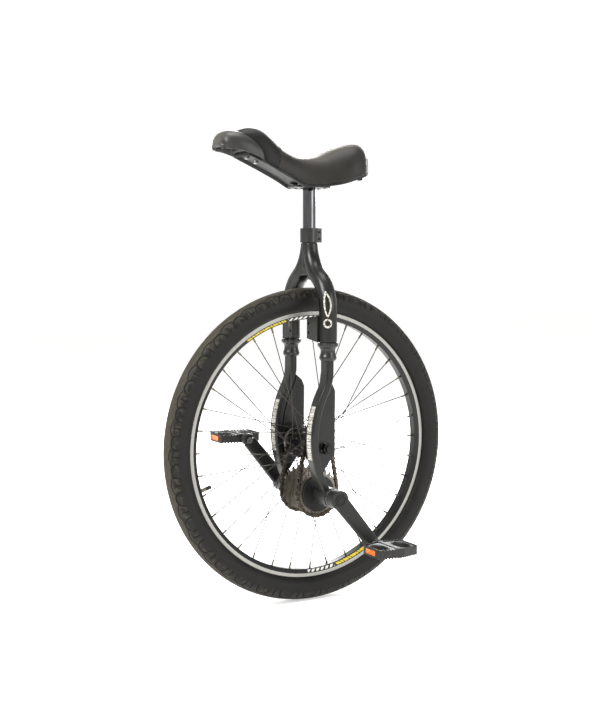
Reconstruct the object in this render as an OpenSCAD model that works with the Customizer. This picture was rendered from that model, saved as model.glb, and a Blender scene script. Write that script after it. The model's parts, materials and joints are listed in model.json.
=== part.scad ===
// Geared unicycle with a bowed two-leg frame and one chain inside each leg.
// Millimetres. Origin on the ground under the axle, +X forward, +Y rider's left, +Z up.

/* [Wheel] */
// Bead seat diameter of the rim
bead_d = 559; // [507:1:584]
// Height of the tyre above the bead seat
tyre_h = 56.3; // [50:0.1:60]
// Width of the tyre
tyre_w = 57; // [50:0.5:60]
// Thickness of the tyre casing
casing_t = 3.5; // [2.5:0.1:4]
// Overall width of the rim
rim_w = 28; // [24:0.5:34]
// Height of the rim flange above the bead seat
flange_h = 6; // [5:0.1:7]
// Depth of the rim below the bead seat
rim_depth = 10.5; // [9:0.5:16]
// Wall thickness of the rim
rim_wall = 2.2; // [1.6:0.1:2.8]
// Number of spokes
spoke_n = 36; // [28:4:40]
// Diameter of a spoke
spoke_d = 2; // [1.6:0.1:2.4]
// Angle of the valve below the horizontal at the front
valve_a = 17; // [0:1:60]

/* [Hub and sprockets] */
// Distance between the two spoke flanges, middle to middle
flange_gap = 48; // [40:1:52]
// Diameter of the circle of spoke holes
flange_pcd = 58; // [54:1:66]
// Diameter of the axle inside the hub
axle_d = 15; // [12:0.5:16]
// Diameter of the threaded axle ends
axle_end_d = 14; // [10:0.5:14]
// Overall length of the axle
axle_l = 172; // [160:1:190]
// Distance of each chain from the middle plane
chain_y = 36; // [35:0.5:42]
// Thickness of a sprocket
sprocket_t = 2.2; // [1.8:0.1:2.6]
// Teeth on each hub sprocket
sprocket_teeth = 16; // [14:2:18]
// Teeth on each chainring
ring_teeth = 24; // [20:2:28]
// Chain pitches in each straight run
run_pitches = 7; // [7:1:10]

/* [Frame] */
// Gap between the tyre and the crown
crown_gap = 28; // [20:1:45]
// Outer diameter of the seat tube
seat_tube_d = 31.8; // [31:0.1:34.9]
// Height of the seat tube above the crown
seat_tube_l = 97; // [80:1:140]
// Diameter of the upper legs
leg_d = 38; // [30:0.5:40]
// Diameter of the upper legs at the clamp
leg_top_d = 30; // [26:0.5:32]
// Wall of the upper legs
leg_wall = 2; // [1.5:0.1:3]
// Distance of each leg from the middle plane
leg_y = 78; // [76:0.5:86]
// Steepest angle of the crown bends
crown_a = 56; // [50:1:62]
// Height of the collar between upper and lower leg, above the axle
collar_up = 185; // [170:1:210]
// Width of a lower leg, side to side
lower_w = 30; // [26:0.5:32]
// Depth of a lower leg, front to back
lower_d = 16.5; // [14:0.5:20]
// Wall of a lower leg
lower_wall = 2; // [1.5:0.1:2.5]
// How far the lower leg bows forward
bow_out = 36; // [30:1:44]
// Radius of the bow
bow_r = 212; // [190:1:240]
// Angle of the bow to each side of its furthest point
bow_a = 28; // [26:0.5:30]
// Height of the furthest point of the bow above the crank axis
bow_up = 120; // [110:1:135]
// Thickness of the plates that hold the axle
plate_t = 5; // [4:0.5:6]

/* [Cranks and pedals] */
// Diameter of a crank spindle
spindle_d = 17; // [15:0.5:20]
// Outer diameter of a spindle bearing
bearing_d = 35; // [32:0.5:36]
// Width of a spindle bearing
bearing_w = 10; // [8:0.5:12]
// Outer diameter of a bearing shell
shell_d = 42; // [40:0.5:48]
// Length of a bearing shell
shell_l = 38; // [34:0.5:44]
// Length of a crank, axis to axis
crank_l = 130; // [100:1:150]
// Angle of the left crank below the horizontal at the rear
crank_a = 50; // [0:1:90]
// Thickness of a crank arm
arm_t = 16; // [12:0.5:20]
// Length of a pedal, front to back
pedal_l = 96; // [80:1:110]
// Width of a pedal at the axle
pedal_w = 80; // [70:1:100]
// Width of a pedal at its front and rear faces
pedal_end_w = 60; // [50:1:70]
// Thickness of a pedal
pedal_t = 20; // [16:0.5:28]

/* [Seat] */
// Diameter of the seat post
post_d = 27.2; // [25.4:0.1:28.6]
// Length of the seat post
post_l = 155; // [150:1:300]
// Height of the seat post top above the seat tube
post_out = 85; // [80:1:140]
// Length of the saddle
saddle_l = 350; // [320:1:380]
// Width of the saddle at the rear
saddle_rear_w = 150; // [130:1:170]
// Width of the saddle at the front
saddle_front_w = 92; // [80:1:110]

/* [Fits] */
// Radial clearance of a running fit
run_clear = 0.05; // [0.02:0.01:0.08]
// Gap between moving pieces
gap = 0.3; // [0.3:0.05:0.6]

/* [Hidden] */
$fn = 96;

// Wheel
bead_r = bead_d / 2;
tyre_r = bead_r + tyre_h;
tyre_c = tyre_r - tyre_w / 2;
axle_z = tyre_r;
rim_r = bead_r + flange_h;
rim_in_r = bead_r - rim_depth;
flange_t = 3;
seat_half = rim_w / 2 - flange_t;
channel_half = 7;
channel_drop = 3;
nipple_l = 14;
nipple_d = 4;
nipple_y = 2.5;
side_extra = 2.2;
cavity_r = tyre_w / 2 - casing_t - side_extra;
cavity_c = tyre_c + side_extra;
valve_out = 12;

// Hub
flange_r = flange_pcd / 2 + 4;
flange_y = flange_gap / 2;
hub_flange_t = 3.5;
barrel_r = 17;
hub_bearing_d = 32;
hub_bearing_w = 9;
boss_r = 26.5;
disc_pcd = 44;
disc_bolt_n = 6;
disc_bolt_r = 2.5;
boss_end = chain_y - sprocket_t / 2;

// Chain
pitch = 12.7;
roller_r = 3.875;
roller_gap = 0.2;
pin_r = 1.8;
chain_in_w = 3.4;
link_t = 1;
link_h = 8.4;
link_gap = 0.1;
ring_pr = pitch / 2 / sin(180 / ring_teeth);
spr_pr = pitch / 2 / sin(180 / sprocket_teeth);
ring_step = 360 / ring_teeth;
spr_step = 360 / sprocket_teeth;
// Lean of the straight runs, then the last tooth that holds a roller on each side
run_lean = asin((ring_pr - spr_pr) / (run_pitches * pitch));
ring_k = round((90 + run_lean) / ring_step);
spr_k = round((90 - run_lean) / spr_step);
ring_x = ring_pr * sin(ring_k * ring_step);
spr_x = spr_pr * sin(spr_k * spr_step);
ring_dz = -ring_pr * cos(ring_k * ring_step);
spr_dz = spr_pr * cos(spr_k * spr_step);
// Distance from the axle down to the crank axis that keeps the chain taut
crank_drop = sqrt(pow(run_pitches * pitch, 2) - pow(ring_x - spr_x, 2)) - spr_dz + ring_dz;
crank_z = axle_z - crank_drop;
chain_n = 2 * (ring_k + spr_k + run_pitches);

// Frame
crown_z = 2 * tyre_r + crown_gap;
seat_tube_z = crown_z + seat_tube_l;
seat_tube_bottom = crown_z + 14;
leg_top_y = 6;
leg_top_z = crown_z + 62;
web_t = 26;
// Two equal bends take a leg from beside the seat tube out to its own distance
crown_r = (leg_y - leg_top_y) / 2 / (1 - cos(crown_a));
leg_straight_z = leg_top_z - 2 * crown_r * sin(crown_a);
collar_z = axle_z + collar_up;
leg_bottom_z = collar_z + 38;
lower_x = 1.4;
bow_x = lower_x + bow_out;
bow_z = crank_z + bow_up;
// Bend above the bow that brings the leg back to its own axis
kink_r = bow_out / (1 - cos(bow_a)) - bow_r;
lower_straight_z = bow_z + (bow_r + kink_r) * sin(bow_a);
bow_end_x = bow_x - bow_r * (1 - cos(bow_a));
bow_end_z = bow_z - bow_r * sin(bow_a);
plate_y = leg_y - lower_w / 2;
plate_back = -24;
shell_y0 = plate_y - 1;
shell_y1 = shell_y0 + shell_l;
seal_t = 4;
clamp_h = 30;
clamp_r = 19.2;
post_r = post_d / 2;
brake_in_y = 32;
brake_bolt_y = 39;
brake_bolt_gap = 19;
brake_bolt_r = 3;
brake_z = axle_z + 252;
brake_front = 24;
brake_t = 12;

// Cranks and pedals
spindle_r = spindle_d / 2;
boss_y0 = shell_y1 + seal_t + 1;
boss_y1 = boss_y0 + 26;
crank_boss_r = 20;
crank_end_r = 14.5;
arm_half = 14;
pedal_y = boss_y1 + 19 + pedal_w / 2;
pedal_bore_r = 5;
pedal_x = -crank_l * cos(crank_a);
pedal_dz = -crank_l * sin(crank_a);

// Seat
post_top_z = seat_tube_z + post_out;
post_bottom_z = post_top_z - post_l;
post_plate_t = 4;
base_z = post_top_z + post_plate_t;
plate_bolt_x = 32;
plate_bolt_y = 14;
bolt_r = 3;
bolt_head_r = 5;
// The saddle's lines are drawn for a length of 350 and stretch with it
saddle_k = saddle_l / 350;
saddle_front = 222.5 * saddle_k;
saddle_back = -127.5 * saddle_k;
function stretch(v) = [for (p = v) [p[0] * saddle_k, p[1]]];
base_h = 10;
base_wall = 4;
// Front end of the tray, then the height of its straight underside below the nose
tray_front = 160;
function nose_under(x) = 31.4 + (x - 106) * 0.43;
// Places of the two bolts up into the nose shell's foot, and the blocks that they clamp
nose_bolts = [127, 147];
nose_bolt_l = 12;
nose_foot_x = 112;
nose_foot_t = 8;
function nose_block_z(x) = nose_under(x) + 3.3;
bumper_bolt_z = 28;
// Underside of the saddle as seen from the side, from back to front: X, height over the post plate
under = stretch([[-127.5, 26], [-85, 13], [-50, 2], [-5, -5.6], [30, -5.6], [58, 8.5],
  [106, nose_under(106)], [166, nose_under(166)], [190, 65.5], [222.5, 66]]);
// Top line of the pad, from front to back
pad_top = stretch([[168, 107], [158, 112.5], [147, 115.5], [134, 115], [122, 111], [102, 97.5],
  [81, 80.5], [59, 68], [38, 60.5], [12, 59.5], [-14, 64], [-50, 80.5], [-85, 92], [-106, 96],
  [-119, 92], [-123.5, 70], [-123.5, 36]]);
// Rear edge of the nose shell, from the foot that lies on the tray up to the top
nose_back = stretch([[nose_foot_x, nose_under(nose_foot_x) + base_h + nose_foot_t],
  [131, nose_under(131) + base_h + nose_foot_t], [134, 66], [146, 82], [160, 95], [178, 104.5]]);
// Side outline of the nose shell from the rear lower corner of its foot round the nose
nose_front = stretch([[nose_foot_x, nose_under(nose_foot_x) + base_h],
  [tray_front, nose_under(tray_front) + base_h], [tray_front + 1, nose_under(tray_front + 1)],
  [190, 65.5], [212, 64.5], [220, 67], [222.5, 75], [219, 86], [210, 97], [200, 102.5]]);

// ---------- helpers ----------

// A flat shape in X and Z carried along Y from y0 to y1
module along_y(y0, y1)
  translate([0, y1, 0]) rotate([90, 0, 0]) linear_extrude(y1 - y0) children();

// A profile of radius and Y turned round the Y axis
module turn_y() rotate([-90, 0, 0]) rotate_extrude($fn = 180) children();

// A round bar between two points
module rod(p, q, d) {
  v = q - p;
  l = norm(v);
  translate(p) rotate([0, acos(v[2] / l), atan2(v[1], v[0])]) cylinder(d = d, h = l, $fn = 24);
}

// A rectangle with rounded corners, made of squares and circles
module round_rect(w, h, r) {
  square([w - 2 * r, h], center = true);
  square([w, h - 2 * r], center = true);
  for (x = [-1, 1], y = [-1, 1])
    translate([x * (w / 2 - r), y * (h / 2 - r)]) circle(r, $fn = 32);
}

// The left half of a pair, and its mirror image
module right() mirror([0, 1, 0]) children();
module pair() { children(); right() children(); }

module at_axle() translate([0, 0, axle_z]) children();
module at_crank() translate([0, 0, crank_z]) children();

// ---------- frame ----------

// Centre line of an upper leg from the crown to the collar: Y, Z and the angle it leans out
leg_steps = 9;
leg_line = concat([[leg_top_y, seat_tube_z - clamp_h - 1, 0]],
  [for (k = [0 : leg_steps]) let (a = crown_a * k / leg_steps)
    [leg_top_y + crown_r * (1 - cos(a)), leg_top_z - crown_r * sin(a), a]],
  [for (k = [leg_steps - 1 : -1 : 0]) let (a = crown_a * k / leg_steps)
    [leg_y - crown_r * (1 - cos(a)), leg_straight_z + crown_r * sin(a), a]],
  [[leg_y, leg_bottom_z, 0]]);
leg_sides = 24;
// A leg narrows from the crown up to the clamp; wall is how far a ring lies inside the surface
function leg_r(z, wall) = leg_d / 2 - wall
  - (leg_d - leg_top_d) / 2 * max(0, min(1, (z - crown_z) / (leg_top_z - crown_z)));
function leg_ring(p, wall) = [for (i = [0 : leg_sides - 1])
  let (t = 360 * i / leg_sides, r = leg_r(p[1], wall))
  [r * sin(t), p[0] + r * cos(t) * cos(p[2]), p[1] + r * cos(t) * sin(p[2])]];
function flat(v) = [for (a = v) for (b = a) b];

// A round solid swept along the upper leg
module leg_solid() {
  n = len(leg_line);
  m = leg_sides;
  polyhedron(
    points = flat([for (p = leg_line) leg_ring(p, 0)]),
    faces = concat(
      [[for (i = [0 : m - 1]) i]],
      flat([for (j = [0 : n - 2]) [for (i = [0 : m - 1])
        [j * m + (i + 1) % m, j * m + i, (j + 1) * m + i, (j + 1) * m + (i + 1) % m]]]),
      [[for (i = [m - 1 : -1 : 0]) (n - 1) * m + i]]));
}

// The same sweep with a wall: outer and inner rings joined at both ends
module leg_pipe() {
  n = len(leg_line);
  m = leg_sides;
  o = n * m;
  e = (n - 1) * m;
  polyhedron(
    points = flat(concat([for (p = leg_line) leg_ring(p, 0)],
                         [for (p = leg_line) leg_ring(p, leg_wall)])),
    faces = flat([for (i = [0 : m - 1]) let (k = (i + 1) % m) concat(
      [[i, k, o + k, o + i], [e + k, e + i, o + e + i, o + e + k]],
      flat([for (j = [0 : n - 2]) [
        [j * m + k, j * m + i, (j + 1) * m + i, (j + 1) * m + k],
        [o + j * m + i, o + j * m + k, o + (j + 1) * m + k, o + (j + 1) * m + i]]]))]));
}

module seat_tube() color("#1d1e1f") difference() {
  translate([0, 0, seat_tube_bottom])
    cylinder(d = seat_tube_d, h = seat_tube_z - seat_tube_bottom);
  translate([0, 0, seat_tube_bottom + 3])
    cylinder(r = post_r + run_clear, h = seat_tube_z - seat_tube_bottom);
  translate([-seat_tube_d, -1.5, seat_tube_z - 45]) cube([seat_tube_d, 3, 50]);
}

module leg_tube() color("#1d1e1f") difference() {
  leg_pipe();
  translate([0, 0, seat_tube_bottom - 60]) cylinder(d = seat_tube_d, h = 200);
  translate([-50, -100, 0]) cube([100, 100, 2000]);
}

module crown_web() color("#1d1e1f") difference() {
  translate([-web_t / 2, 0, 0]) rotate([90, 0, 90]) linear_extrude(web_t) difference() {
    polygon([[-36, crown_z - 12], [36, crown_z - 12], [10, crown_z + 45], [-10, crown_z + 45]]);
    translate([0, crown_z - 60]) circle(60);
  }
  pair() leg_solid();
  translate([0, 0, seat_tube_bottom]) cylinder(d = seat_tube_d, h = 200);
}

// Turned collar: a flange under the upper leg, a neck and a bulb over the lower leg
module leg_collar() color("#232425") translate([0, leg_y, collar_z]) rotate_extrude()
  polygon([[0, 0], [16.2, 0], [17.6, 3], [17.6, 9], [16, 14], [15.2, 20], [16, 25], [21.5, 30],
           [21.5, 38], [leg_d / 2 - leg_wall - 0.3, 38], [leg_d / 2 - leg_wall - 0.3, 60], [0, 60]]);

// Centre line of a lower leg: X, Z and the angle it leans forward
kink_steps = 8;
bow_steps = 24;
lower_line = concat([[lower_x, collar_z, 0]],
  [for (k = [0 : kink_steps]) let (a = bow_a * k / kink_steps)
    [lower_x + kink_r * (1 - cos(a)), lower_straight_z - kink_r * sin(a), a]],
  [for (k = [1 : bow_steps]) let (a = bow_a * (1 - 2 * k / bow_steps))
    [bow_x - bow_r * (1 - cos(a)), bow_z + bow_r * sin(a), a]],
  [[bow_end_x - 24 * sin(bow_a), bow_end_z - 24 * cos(bow_a), -bow_a]]);

// Side outline of a lower leg of depth d, its front edge and then its rear edge
module lower_side(d) polygon(concat(
  [for (p = lower_line) [p[0] + d / 2 * cos(p[2]), p[1] + d / 2 * sin(p[2])]],
  [for (i = [len(lower_line) - 1 : -1 : 0]) let (p = lower_line[i])
    [p[0] - d / 2 * cos(p[2]), p[1] - d / 2 * sin(p[2])]]));

module lower_leg() color("#1d1e1f") difference() {
  along_y(leg_y - lower_w / 2, leg_y + lower_w / 2) lower_side(lower_d);
  along_y(leg_y - lower_w / 2 + lower_wall, leg_y + lower_w / 2 - lower_wall) intersection() {
    lower_side(lower_d - 2 * lower_wall);
    translate([-100, 0]) square([300, collar_z - lower_wall]);
  }
  at_crank() along_y(0, 200) circle(d = shell_d);
}

// Plate from the bow back past the axle, with cut corners
module dropout_plate() color("#1d1e1f") along_y(plate_y, plate_y + plate_t) difference() {
  polygon([
    [plate_back, axle_z - 16], [plate_back, axle_z + 120], [plate_back + 6, axle_z + 133],
    [lower_x, axle_z + 150], [bow_x, axle_z + 90], [bow_x, axle_z - 20],
    [bow_end_x + 4, bow_end_z + 12], [plate_back + 12, axle_z - 28]]);
  lower_side(lower_d);
  translate([bow_x - bow_r, bow_z]) difference() {
    circle(bow_r + 60, $fn = 360);
    circle(bow_r, $fn = 360);
  }
  translate([0, axle_z]) circle(d = axle_end_d + 0.4);
}

module brake_mount() color("#1d1e1f") difference() {
  translate([brake_front - brake_t, 0, brake_z]) rotate([90, 0, 90]) linear_extrude(brake_t)
    polygon([[brake_in_y, -22], [brake_in_y, 22], [leg_y - 4, 26], [leg_y - 4, -28]]);
  translate([0, leg_y, brake_z - 60]) cylinder(d = leg_d, h = 120);
  for (s = [-0.5, 0.5]) translate([0, brake_bolt_y, brake_z + s * brake_bolt_gap])
    rotate([0, 90, 0]) cylinder(r = brake_bolt_r, h = 60);
}

module bearing_shell() color("#232425") at_crank() difference() {
  along_y(shell_y0, shell_y1) circle(d = shell_d);
  along_y(shell_y0 - 1, shell_y1 + 1) circle(d = bearing_d - 4);
  along_y(shell_y0 - 1, shell_y0 + bearing_w) circle(d = bearing_d);
  along_y(shell_y1 - bearing_w, shell_y1 + 1) circle(d = bearing_d);
}

module spindle_bearing(y0) along_y(y0, y0 + bearing_w) difference() {
  circle(d = bearing_d);
  circle(r = spindle_r + run_clear);
}

module crank_bearings() color("#8f9294") at_crank() pair() {
  spindle_bearing(shell_y0);
  spindle_bearing(shell_y1 - bearing_w);
}

module bearing_seals() color("#0d0d0e") at_crank() pair() along_y(shell_y1, shell_y1 + seal_t)
  difference() { circle(d = shell_d - 4); circle(r = spindle_r + 1); }

module seat_clamp() color("#2a2b2c") difference() {
  translate([0, 0, seat_tube_z - clamp_h]) linear_extrude(clamp_h) {
    circle(clamp_r);
    translate([-clamp_r - 7, -8]) square([clamp_r, 16]);
  }
  translate([0, 0, seat_tube_z - clamp_h - 1]) cylinder(d = seat_tube_d, h = clamp_h + 2);
  translate([-40, -1.5, seat_tube_z - clamp_h - 1]) cube([40, 3, clamp_h + 2]);
  for (z = [8, 22]) translate([-clamp_r - 2, 0, seat_tube_z - z]) rotate([90, 0, 0])
    cylinder(d = 5, h = 40, center = true, $fn = 32);
}

module clamp_bolts() color("#9a9c9e") for (z = [8, 22])
  translate([-clamp_r - 2, 0, seat_tube_z - z]) rotate([90, 0, 0]) {
    cylinder(d = 5, h = 20, center = true, $fn = 32);
    translate([0, 0, 8]) cylinder(d = 8.5, h = 4, $fn = 32);
  }

// ---------- axle ----------

module hub_axle() color("#5a5c5e") at_axle() {
  along_y(-plate_y, plate_y) circle(d = axle_d);
  along_y(-axle_l / 2, axle_l / 2) circle(d = axle_end_d);
}

module axle_spacer() difference() {
  union() {
    along_y(boss_end + gap, plate_y) circle(r = axle_d / 2 + 2.5);
    along_y(plate_y - 13, plate_y - 8) circle(r = 32);
  }
  along_y(0, 200) circle(d = axle_d);
}

module axle_spacers() color("#b9b7b2") at_axle() pair() axle_spacer();

module axle_washers() color("#c9c8c4") at_axle() pair()
  along_y(plate_y + plate_t, plate_y + plate_t + 2)
    difference() { circle(r = 11); circle(d = axle_end_d); }

module axle_nuts() color("#151516") at_axle() pair()
  along_y(plate_y + plate_t + 2, plate_y + plate_t + 14)
    difference() { circle(d = 25, $fn = 6); circle(d = axle_end_d); }

// ---------- chain ----------

// Places round the loop: up the ring's side, along the run, over the sprocket and back
ring_pts = [for (k = [-ring_k : ring_k])
  [ring_pr * sin(k * ring_step), -crank_drop - ring_pr * cos(k * ring_step)]];
spr_pts = [for (k = [spr_k : -1 : -spr_k])
  [spr_pr * sin(k * spr_step), spr_pr * cos(k * spr_step)]];
function between(a, b) = [for (k = [1 : run_pitches - 1]) a + (b - a) * k / run_pitches];
chain_pts = concat(ring_pts, between(ring_pts[2 * ring_k], spr_pts[0]), spr_pts,
  between(spr_pts[2 * spr_k], ring_pts[0]));

module on_link(i) {
  a = chain_pts[i];
  b = chain_pts[(i + 1) % chain_n];
  translate([a[0], chain_y, a[1]]) rotate([0, -atan2(b[1] - a[1], b[0] - a[0]), 0]) children();
}

module link_plate(y, h) along_y(y, y + link_t) {
  circle(d = h, $fn = 32);
  translate([pitch, 0]) circle(d = h, $fn = 32);
  translate([0, -h * 0.36]) square([pitch, h * 0.72]);
}

module inner_link() {
  y = chain_in_w / 2;
  difference() {
    union() {
      link_plate(y, link_h);
      link_plate(-y - link_t, link_h);
      for (x = [0, pitch]) translate([x, 0, 0]) along_y(-y, y) circle(roller_r, $fn = 32);
    }
    for (x = [0, pitch]) translate([x, 0, 0])
      along_y(-8, 8) circle(pin_r + run_clear, $fn = 32);
  }
}

module outer_link() {
  y = chain_in_w / 2 + link_t + link_gap;
  link_plate(y, link_h - 0.6);
  link_plate(-y - link_t, link_h - 0.6);
  for (x = [0, pitch]) translate([x, 0, 0])
    along_y(-y - link_t - 0.4, y + link_t + 0.4) circle(pin_r, $fn = 32);
}

module chain() color("#6f6252") at_axle() for (i = [0 : chain_n - 1]) on_link(i)
  if (i % 2 == 0) inner_link(); else outer_link();

// Toothed disc with a roller seat at angle a0 and every step from it
module toothed(pr, n, a0) difference() {
  circle(pr + 3.4);
  for (i = [0 : n - 1]) rotate(a0 + i * 360 / n) translate([pr, 0]) {
    circle(roller_r + roller_gap, $fn = 32);
    polygon([[0, -roller_r - roller_gap], [5, -roller_r - 2.8], [5, roller_r + 2.8],
             [0, roller_r + roller_gap]]);
  }
}

// ---------- wheel ----------

module hub_shell() color("#202122") at_axle() difference() {
  turn_y() difference() {
    union() {
      translate([0, -flange_y]) square([barrel_r, flange_gap]);
      for (s = [-1, 1]) translate([0, s * flange_y - hub_flange_t / 2])
        square([flange_r, hub_flange_t]);
      translate([0, -boss_end]) square([boss_r, boss_end - flange_y]);
      translate([0, flange_y]) square([boss_r, boss_end - flange_y]);
    }
    translate([0, -100]) square([hub_bearing_d / 2 - 3, 200]);
    for (s = [-1, 1]) translate([0, s * (boss_end - hub_bearing_w / 2) - hub_bearing_w / 2])
      square([hub_bearing_d / 2, hub_bearing_w]);
  }
  for (i = [0 : disc_bolt_n - 1]) rotate([0, 30 + i * 360 / disc_bolt_n, 0])
    translate([disc_pcd / 2, 0, 0]) along_y(-100, 100) circle(disc_bolt_r, $fn = 32);
  for (i = [0 : spoke_n / 2 - 1], s = [0, 1]) rotate([0, spoke_hub_a(i, s), 0])
    translate([flange_pcd / 2, 0, 0]) along_y(s * 100 - 100, s * 100)
      circle(d = spoke_d + 0.6, $fn = 16);
}

module hub_bearings() color("#8f9294") at_axle() pair()
  along_y(boss_end - hub_bearing_w, boss_end)
    difference() { circle(d = hub_bearing_d); circle(r = axle_d / 2 + run_clear); }

module sprocket() color("#8c8378") at_axle() along_y(boss_end, boss_end + sprocket_t)
  difference() {
    toothed(spr_pr, sprocket_teeth, 90);
    circle(hub_bearing_d / 2);
    for (i = [0 : disc_bolt_n - 1]) rotate(30 + i * 360 / disc_bolt_n)
      translate([disc_pcd / 2, 0]) circle(disc_bolt_r, $fn = 32);
  }

module sprocket_bolts() color("#c9c8c4") at_axle() pair() for (i = [0 : disc_bolt_n - 1])
  rotate([0, 30 + i * 360 / disc_bolt_n, 0]) translate([disc_pcd / 2, 0, 0]) {
    along_y(flange_y - hub_flange_t / 2 - 1.5, boss_end + sprocket_t)
      circle(disc_bolt_r, $fn = 32);
    along_y(boss_end + sprocket_t, boss_end + sprocket_t + 2.6) circle(4.2, $fn = 32);
  }

// Angles of spoke i on side s (0 right, 1 left) at the hub and at the rim, crossing three others
function spoke_hub_a(i, s) = i * 720 / spoke_n + s * 360 / spoke_n;
function spoke_lean(i) = (i % 2 == 0 ? 1 : -1) * 3 * 720 / spoke_n;
function spoke_side(i) = i % 2 == 0 ? 1 : -1;
function wheel_pt(r, a, y) = [r * cos(a), y, -r * sin(a)];
// Distance of a spoke from the middle of its flange: outer spokes bend in over the flange's edge
function spoke_off(i) = hub_flange_t / 2 + spoke_d / 2 + (spoke_side(i) > 0 ? 0.9 : 0);
function spoke_in(i, s) = wheel_pt(flange_pcd / 2, spoke_hub_a(i, s),
  (2 * s - 1) * (flange_y + spoke_side(i) * spoke_off(i)));
function spoke_out(i, s) = wheel_pt(rim_in_r + rim_wall,
  spoke_hub_a(i, s) + spoke_lean(i), (2 * s - 1) * nipple_y);
function spoke_dir(i, s) = (spoke_out(i, s) - spoke_in(i, s))
  / norm(spoke_out(i, s) - spoke_in(i, s));

module spoke(i, s) {
  a = spoke_hub_a(i, s);
  o = (2 * s - 1) * spoke_side(i);
  reach = spoke_off(i) + hub_flange_t / 2 + 1;
  rod(spoke_in(i, s), spoke_out(i, s) - nipple_l * spoke_dir(i, s), spoke_d);
  rod(spoke_in(i, s) + [0, o * spoke_d * 0.6, 0], spoke_in(i, s) - [0, o * reach, 0],
    spoke_d * 1.15);
  rod(spoke_in(i, s) - [0, o * reach, 0], spoke_in(i, s) - [0, o * (reach + 1), 0],
    spoke_d * 1.8);
}

module spokes() color("#8a8070") at_axle() for (i = [0 : spoke_n / 2 - 1], s = [0, 1])
  spoke(i, s);

module nipples() color("#9b958a") at_axle() for (i = [0 : spoke_n / 2 - 1], s = [0, 1])
  rod(spoke_out(i, s) - nipple_l * spoke_dir(i, s), spoke_out(i, s) + spoke_dir(i, s), nipple_d);

// Box section rim: two flanges, a bead seat each side of the channel, a closed chamber below
module rim_shape() difference() {
  polygon([[rim_in_r, -seat_half + 2], [bead_r - 4, -rim_w / 2], [rim_r, -rim_w / 2],
           [rim_r, -seat_half], [bead_r, -seat_half], [bead_r, -channel_half],
           [bead_r - channel_drop, -channel_half + 1.5], [bead_r - channel_drop, channel_half - 1.5],
           [bead_r, channel_half], [bead_r, seat_half], [rim_r, seat_half],
           [rim_r, rim_w / 2], [bead_r - 4, rim_w / 2], [rim_in_r, seat_half - 2]]);
  polygon([[rim_in_r + rim_wall, -seat_half + 3], [bead_r - channel_drop - rim_wall, -seat_half],
           [bead_r - channel_drop - rim_wall, seat_half], [rim_in_r + rim_wall, seat_half - 3]]);
}

module rim() color("#1a1a1b") at_axle() difference() {
  turn_y() rim_shape();
  for (i = [0 : spoke_n / 2 - 1], s = [0, 1])
    translate(spoke_out(i, s)) rotate([0, spoke_hub_a(i, s) + spoke_lean(i), 0])
      rotate([0, 90, 0]) cylinder(d = nipple_d + 1.4, h = 20, center = true, $fn = 24);
  rotate([0, valve_a, 0]) rotate([0, 90, 0])
    translate([0, 0, rim_in_r - 5]) cylinder(d = 8.5, h = 20, $fn = 32);
}

module rim_tape() color("#b8a37a") at_axle() difference() {
  turn_y() translate([bead_r, -channel_half - 1]) square([0.8, 2 * channel_half + 2]);
  rotate([0, valve_a, 0]) rotate([0, 90, 0])
    translate([0, 0, rim_in_r]) cylinder(d = 8.5, h = 20, $fn = 32);
}

module inner_tube() color("#222222") at_axle() turn_y() translate([cavity_c, 0])
  difference() { circle(cavity_r - 0.3); circle(cavity_r - 1.5); }

module valve_stem() color("#3a3a3a") at_axle() rotate([0, valve_a, 0]) rotate([0, 90, 0])
  translate([0, 0, rim_in_r - valve_out]) {
    cylinder(d = 8, h = cavity_c - cavity_r - rim_in_r + valve_out, $fn = 32);
    translate([0, 0, -8]) cylinder(d = 5.2, h = 8, $fn = 32);
  }

module valve_cap() color("#111111") at_axle() rotate([0, valve_a, 0]) rotate([0, 90, 0])
  translate([0, 0, rim_in_r - valve_out - 13]) difference() {
    cylinder(d = 8, h = 13, $fn = 32);
    translate([0, 0, 5]) cylinder(d = 5.2, h = 10, $fn = 32);
  }

// Thin under the tread, thicker at the sides, with a bead inside each rim flange
module tyre() color("#1b1b1b") at_axle() turn_y() difference() {
  translate([tyre_c, 0]) circle(tyre_w / 2);
  translate([cavity_c, 0]) circle(cavity_r);
  translate([0, -channel_half - 1]) square([cavity_c, 2 * channel_half + 2]);
  translate([0, -50]) square([bead_r, 100]);
  for (s = [-1, 1]) translate([0, s * (seat_half + 25) - 25]) square([rim_r + 0.5, 50]);
}

// ---------- cranks ----------

module spindle() color("#77797b") at_crank() along_y(boss_end - 1.5, boss_y1 - 4)
  circle(spindle_r);

module chainring() color("#a09a90") at_crank() along_y(boss_end, boss_end + sprocket_t)
  difference() {
    toothed(ring_pr, ring_teeth, -90);
    circle(spindle_r);
  }

module ring_carrier() color("#161617") at_crank() difference() {
  union() {
    along_y(boss_end + sprocket_t, boss_end + sprocket_t + 4.5) circle(ring_pr - 10);
    along_y(boss_end + sprocket_t, shell_y0 - gap) circle(spindle_r + 4);
  }
  along_y(0, 100) circle(spindle_r);
}

// A crank arm lies along -X before it is turned to its angle
module crank_turn(a) at_crank() rotate([0, a, 0]) children();

module crank_arm(a) color("#161617") crank_turn(a) difference() {
  union() {
    along_y(boss_y0, boss_y1) circle(crank_boss_r);
    along_y(boss_y1 - arm_t, boss_y1) {
      translate([-crank_l, 0]) circle(crank_end_r);
      polygon([[0, arm_half], [-crank_l, arm_half - 1.5], [-crank_l, 1.5 - arm_half], [0, -arm_half]]);
    }
  }
  along_y(0, boss_y1 - 4) circle(spindle_r);
  along_y(boss_y1 - 4, boss_y1 + 1) circle(12);
  translate([-crank_l, 0, 0]) along_y(0, 200) circle(7);
}

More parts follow.
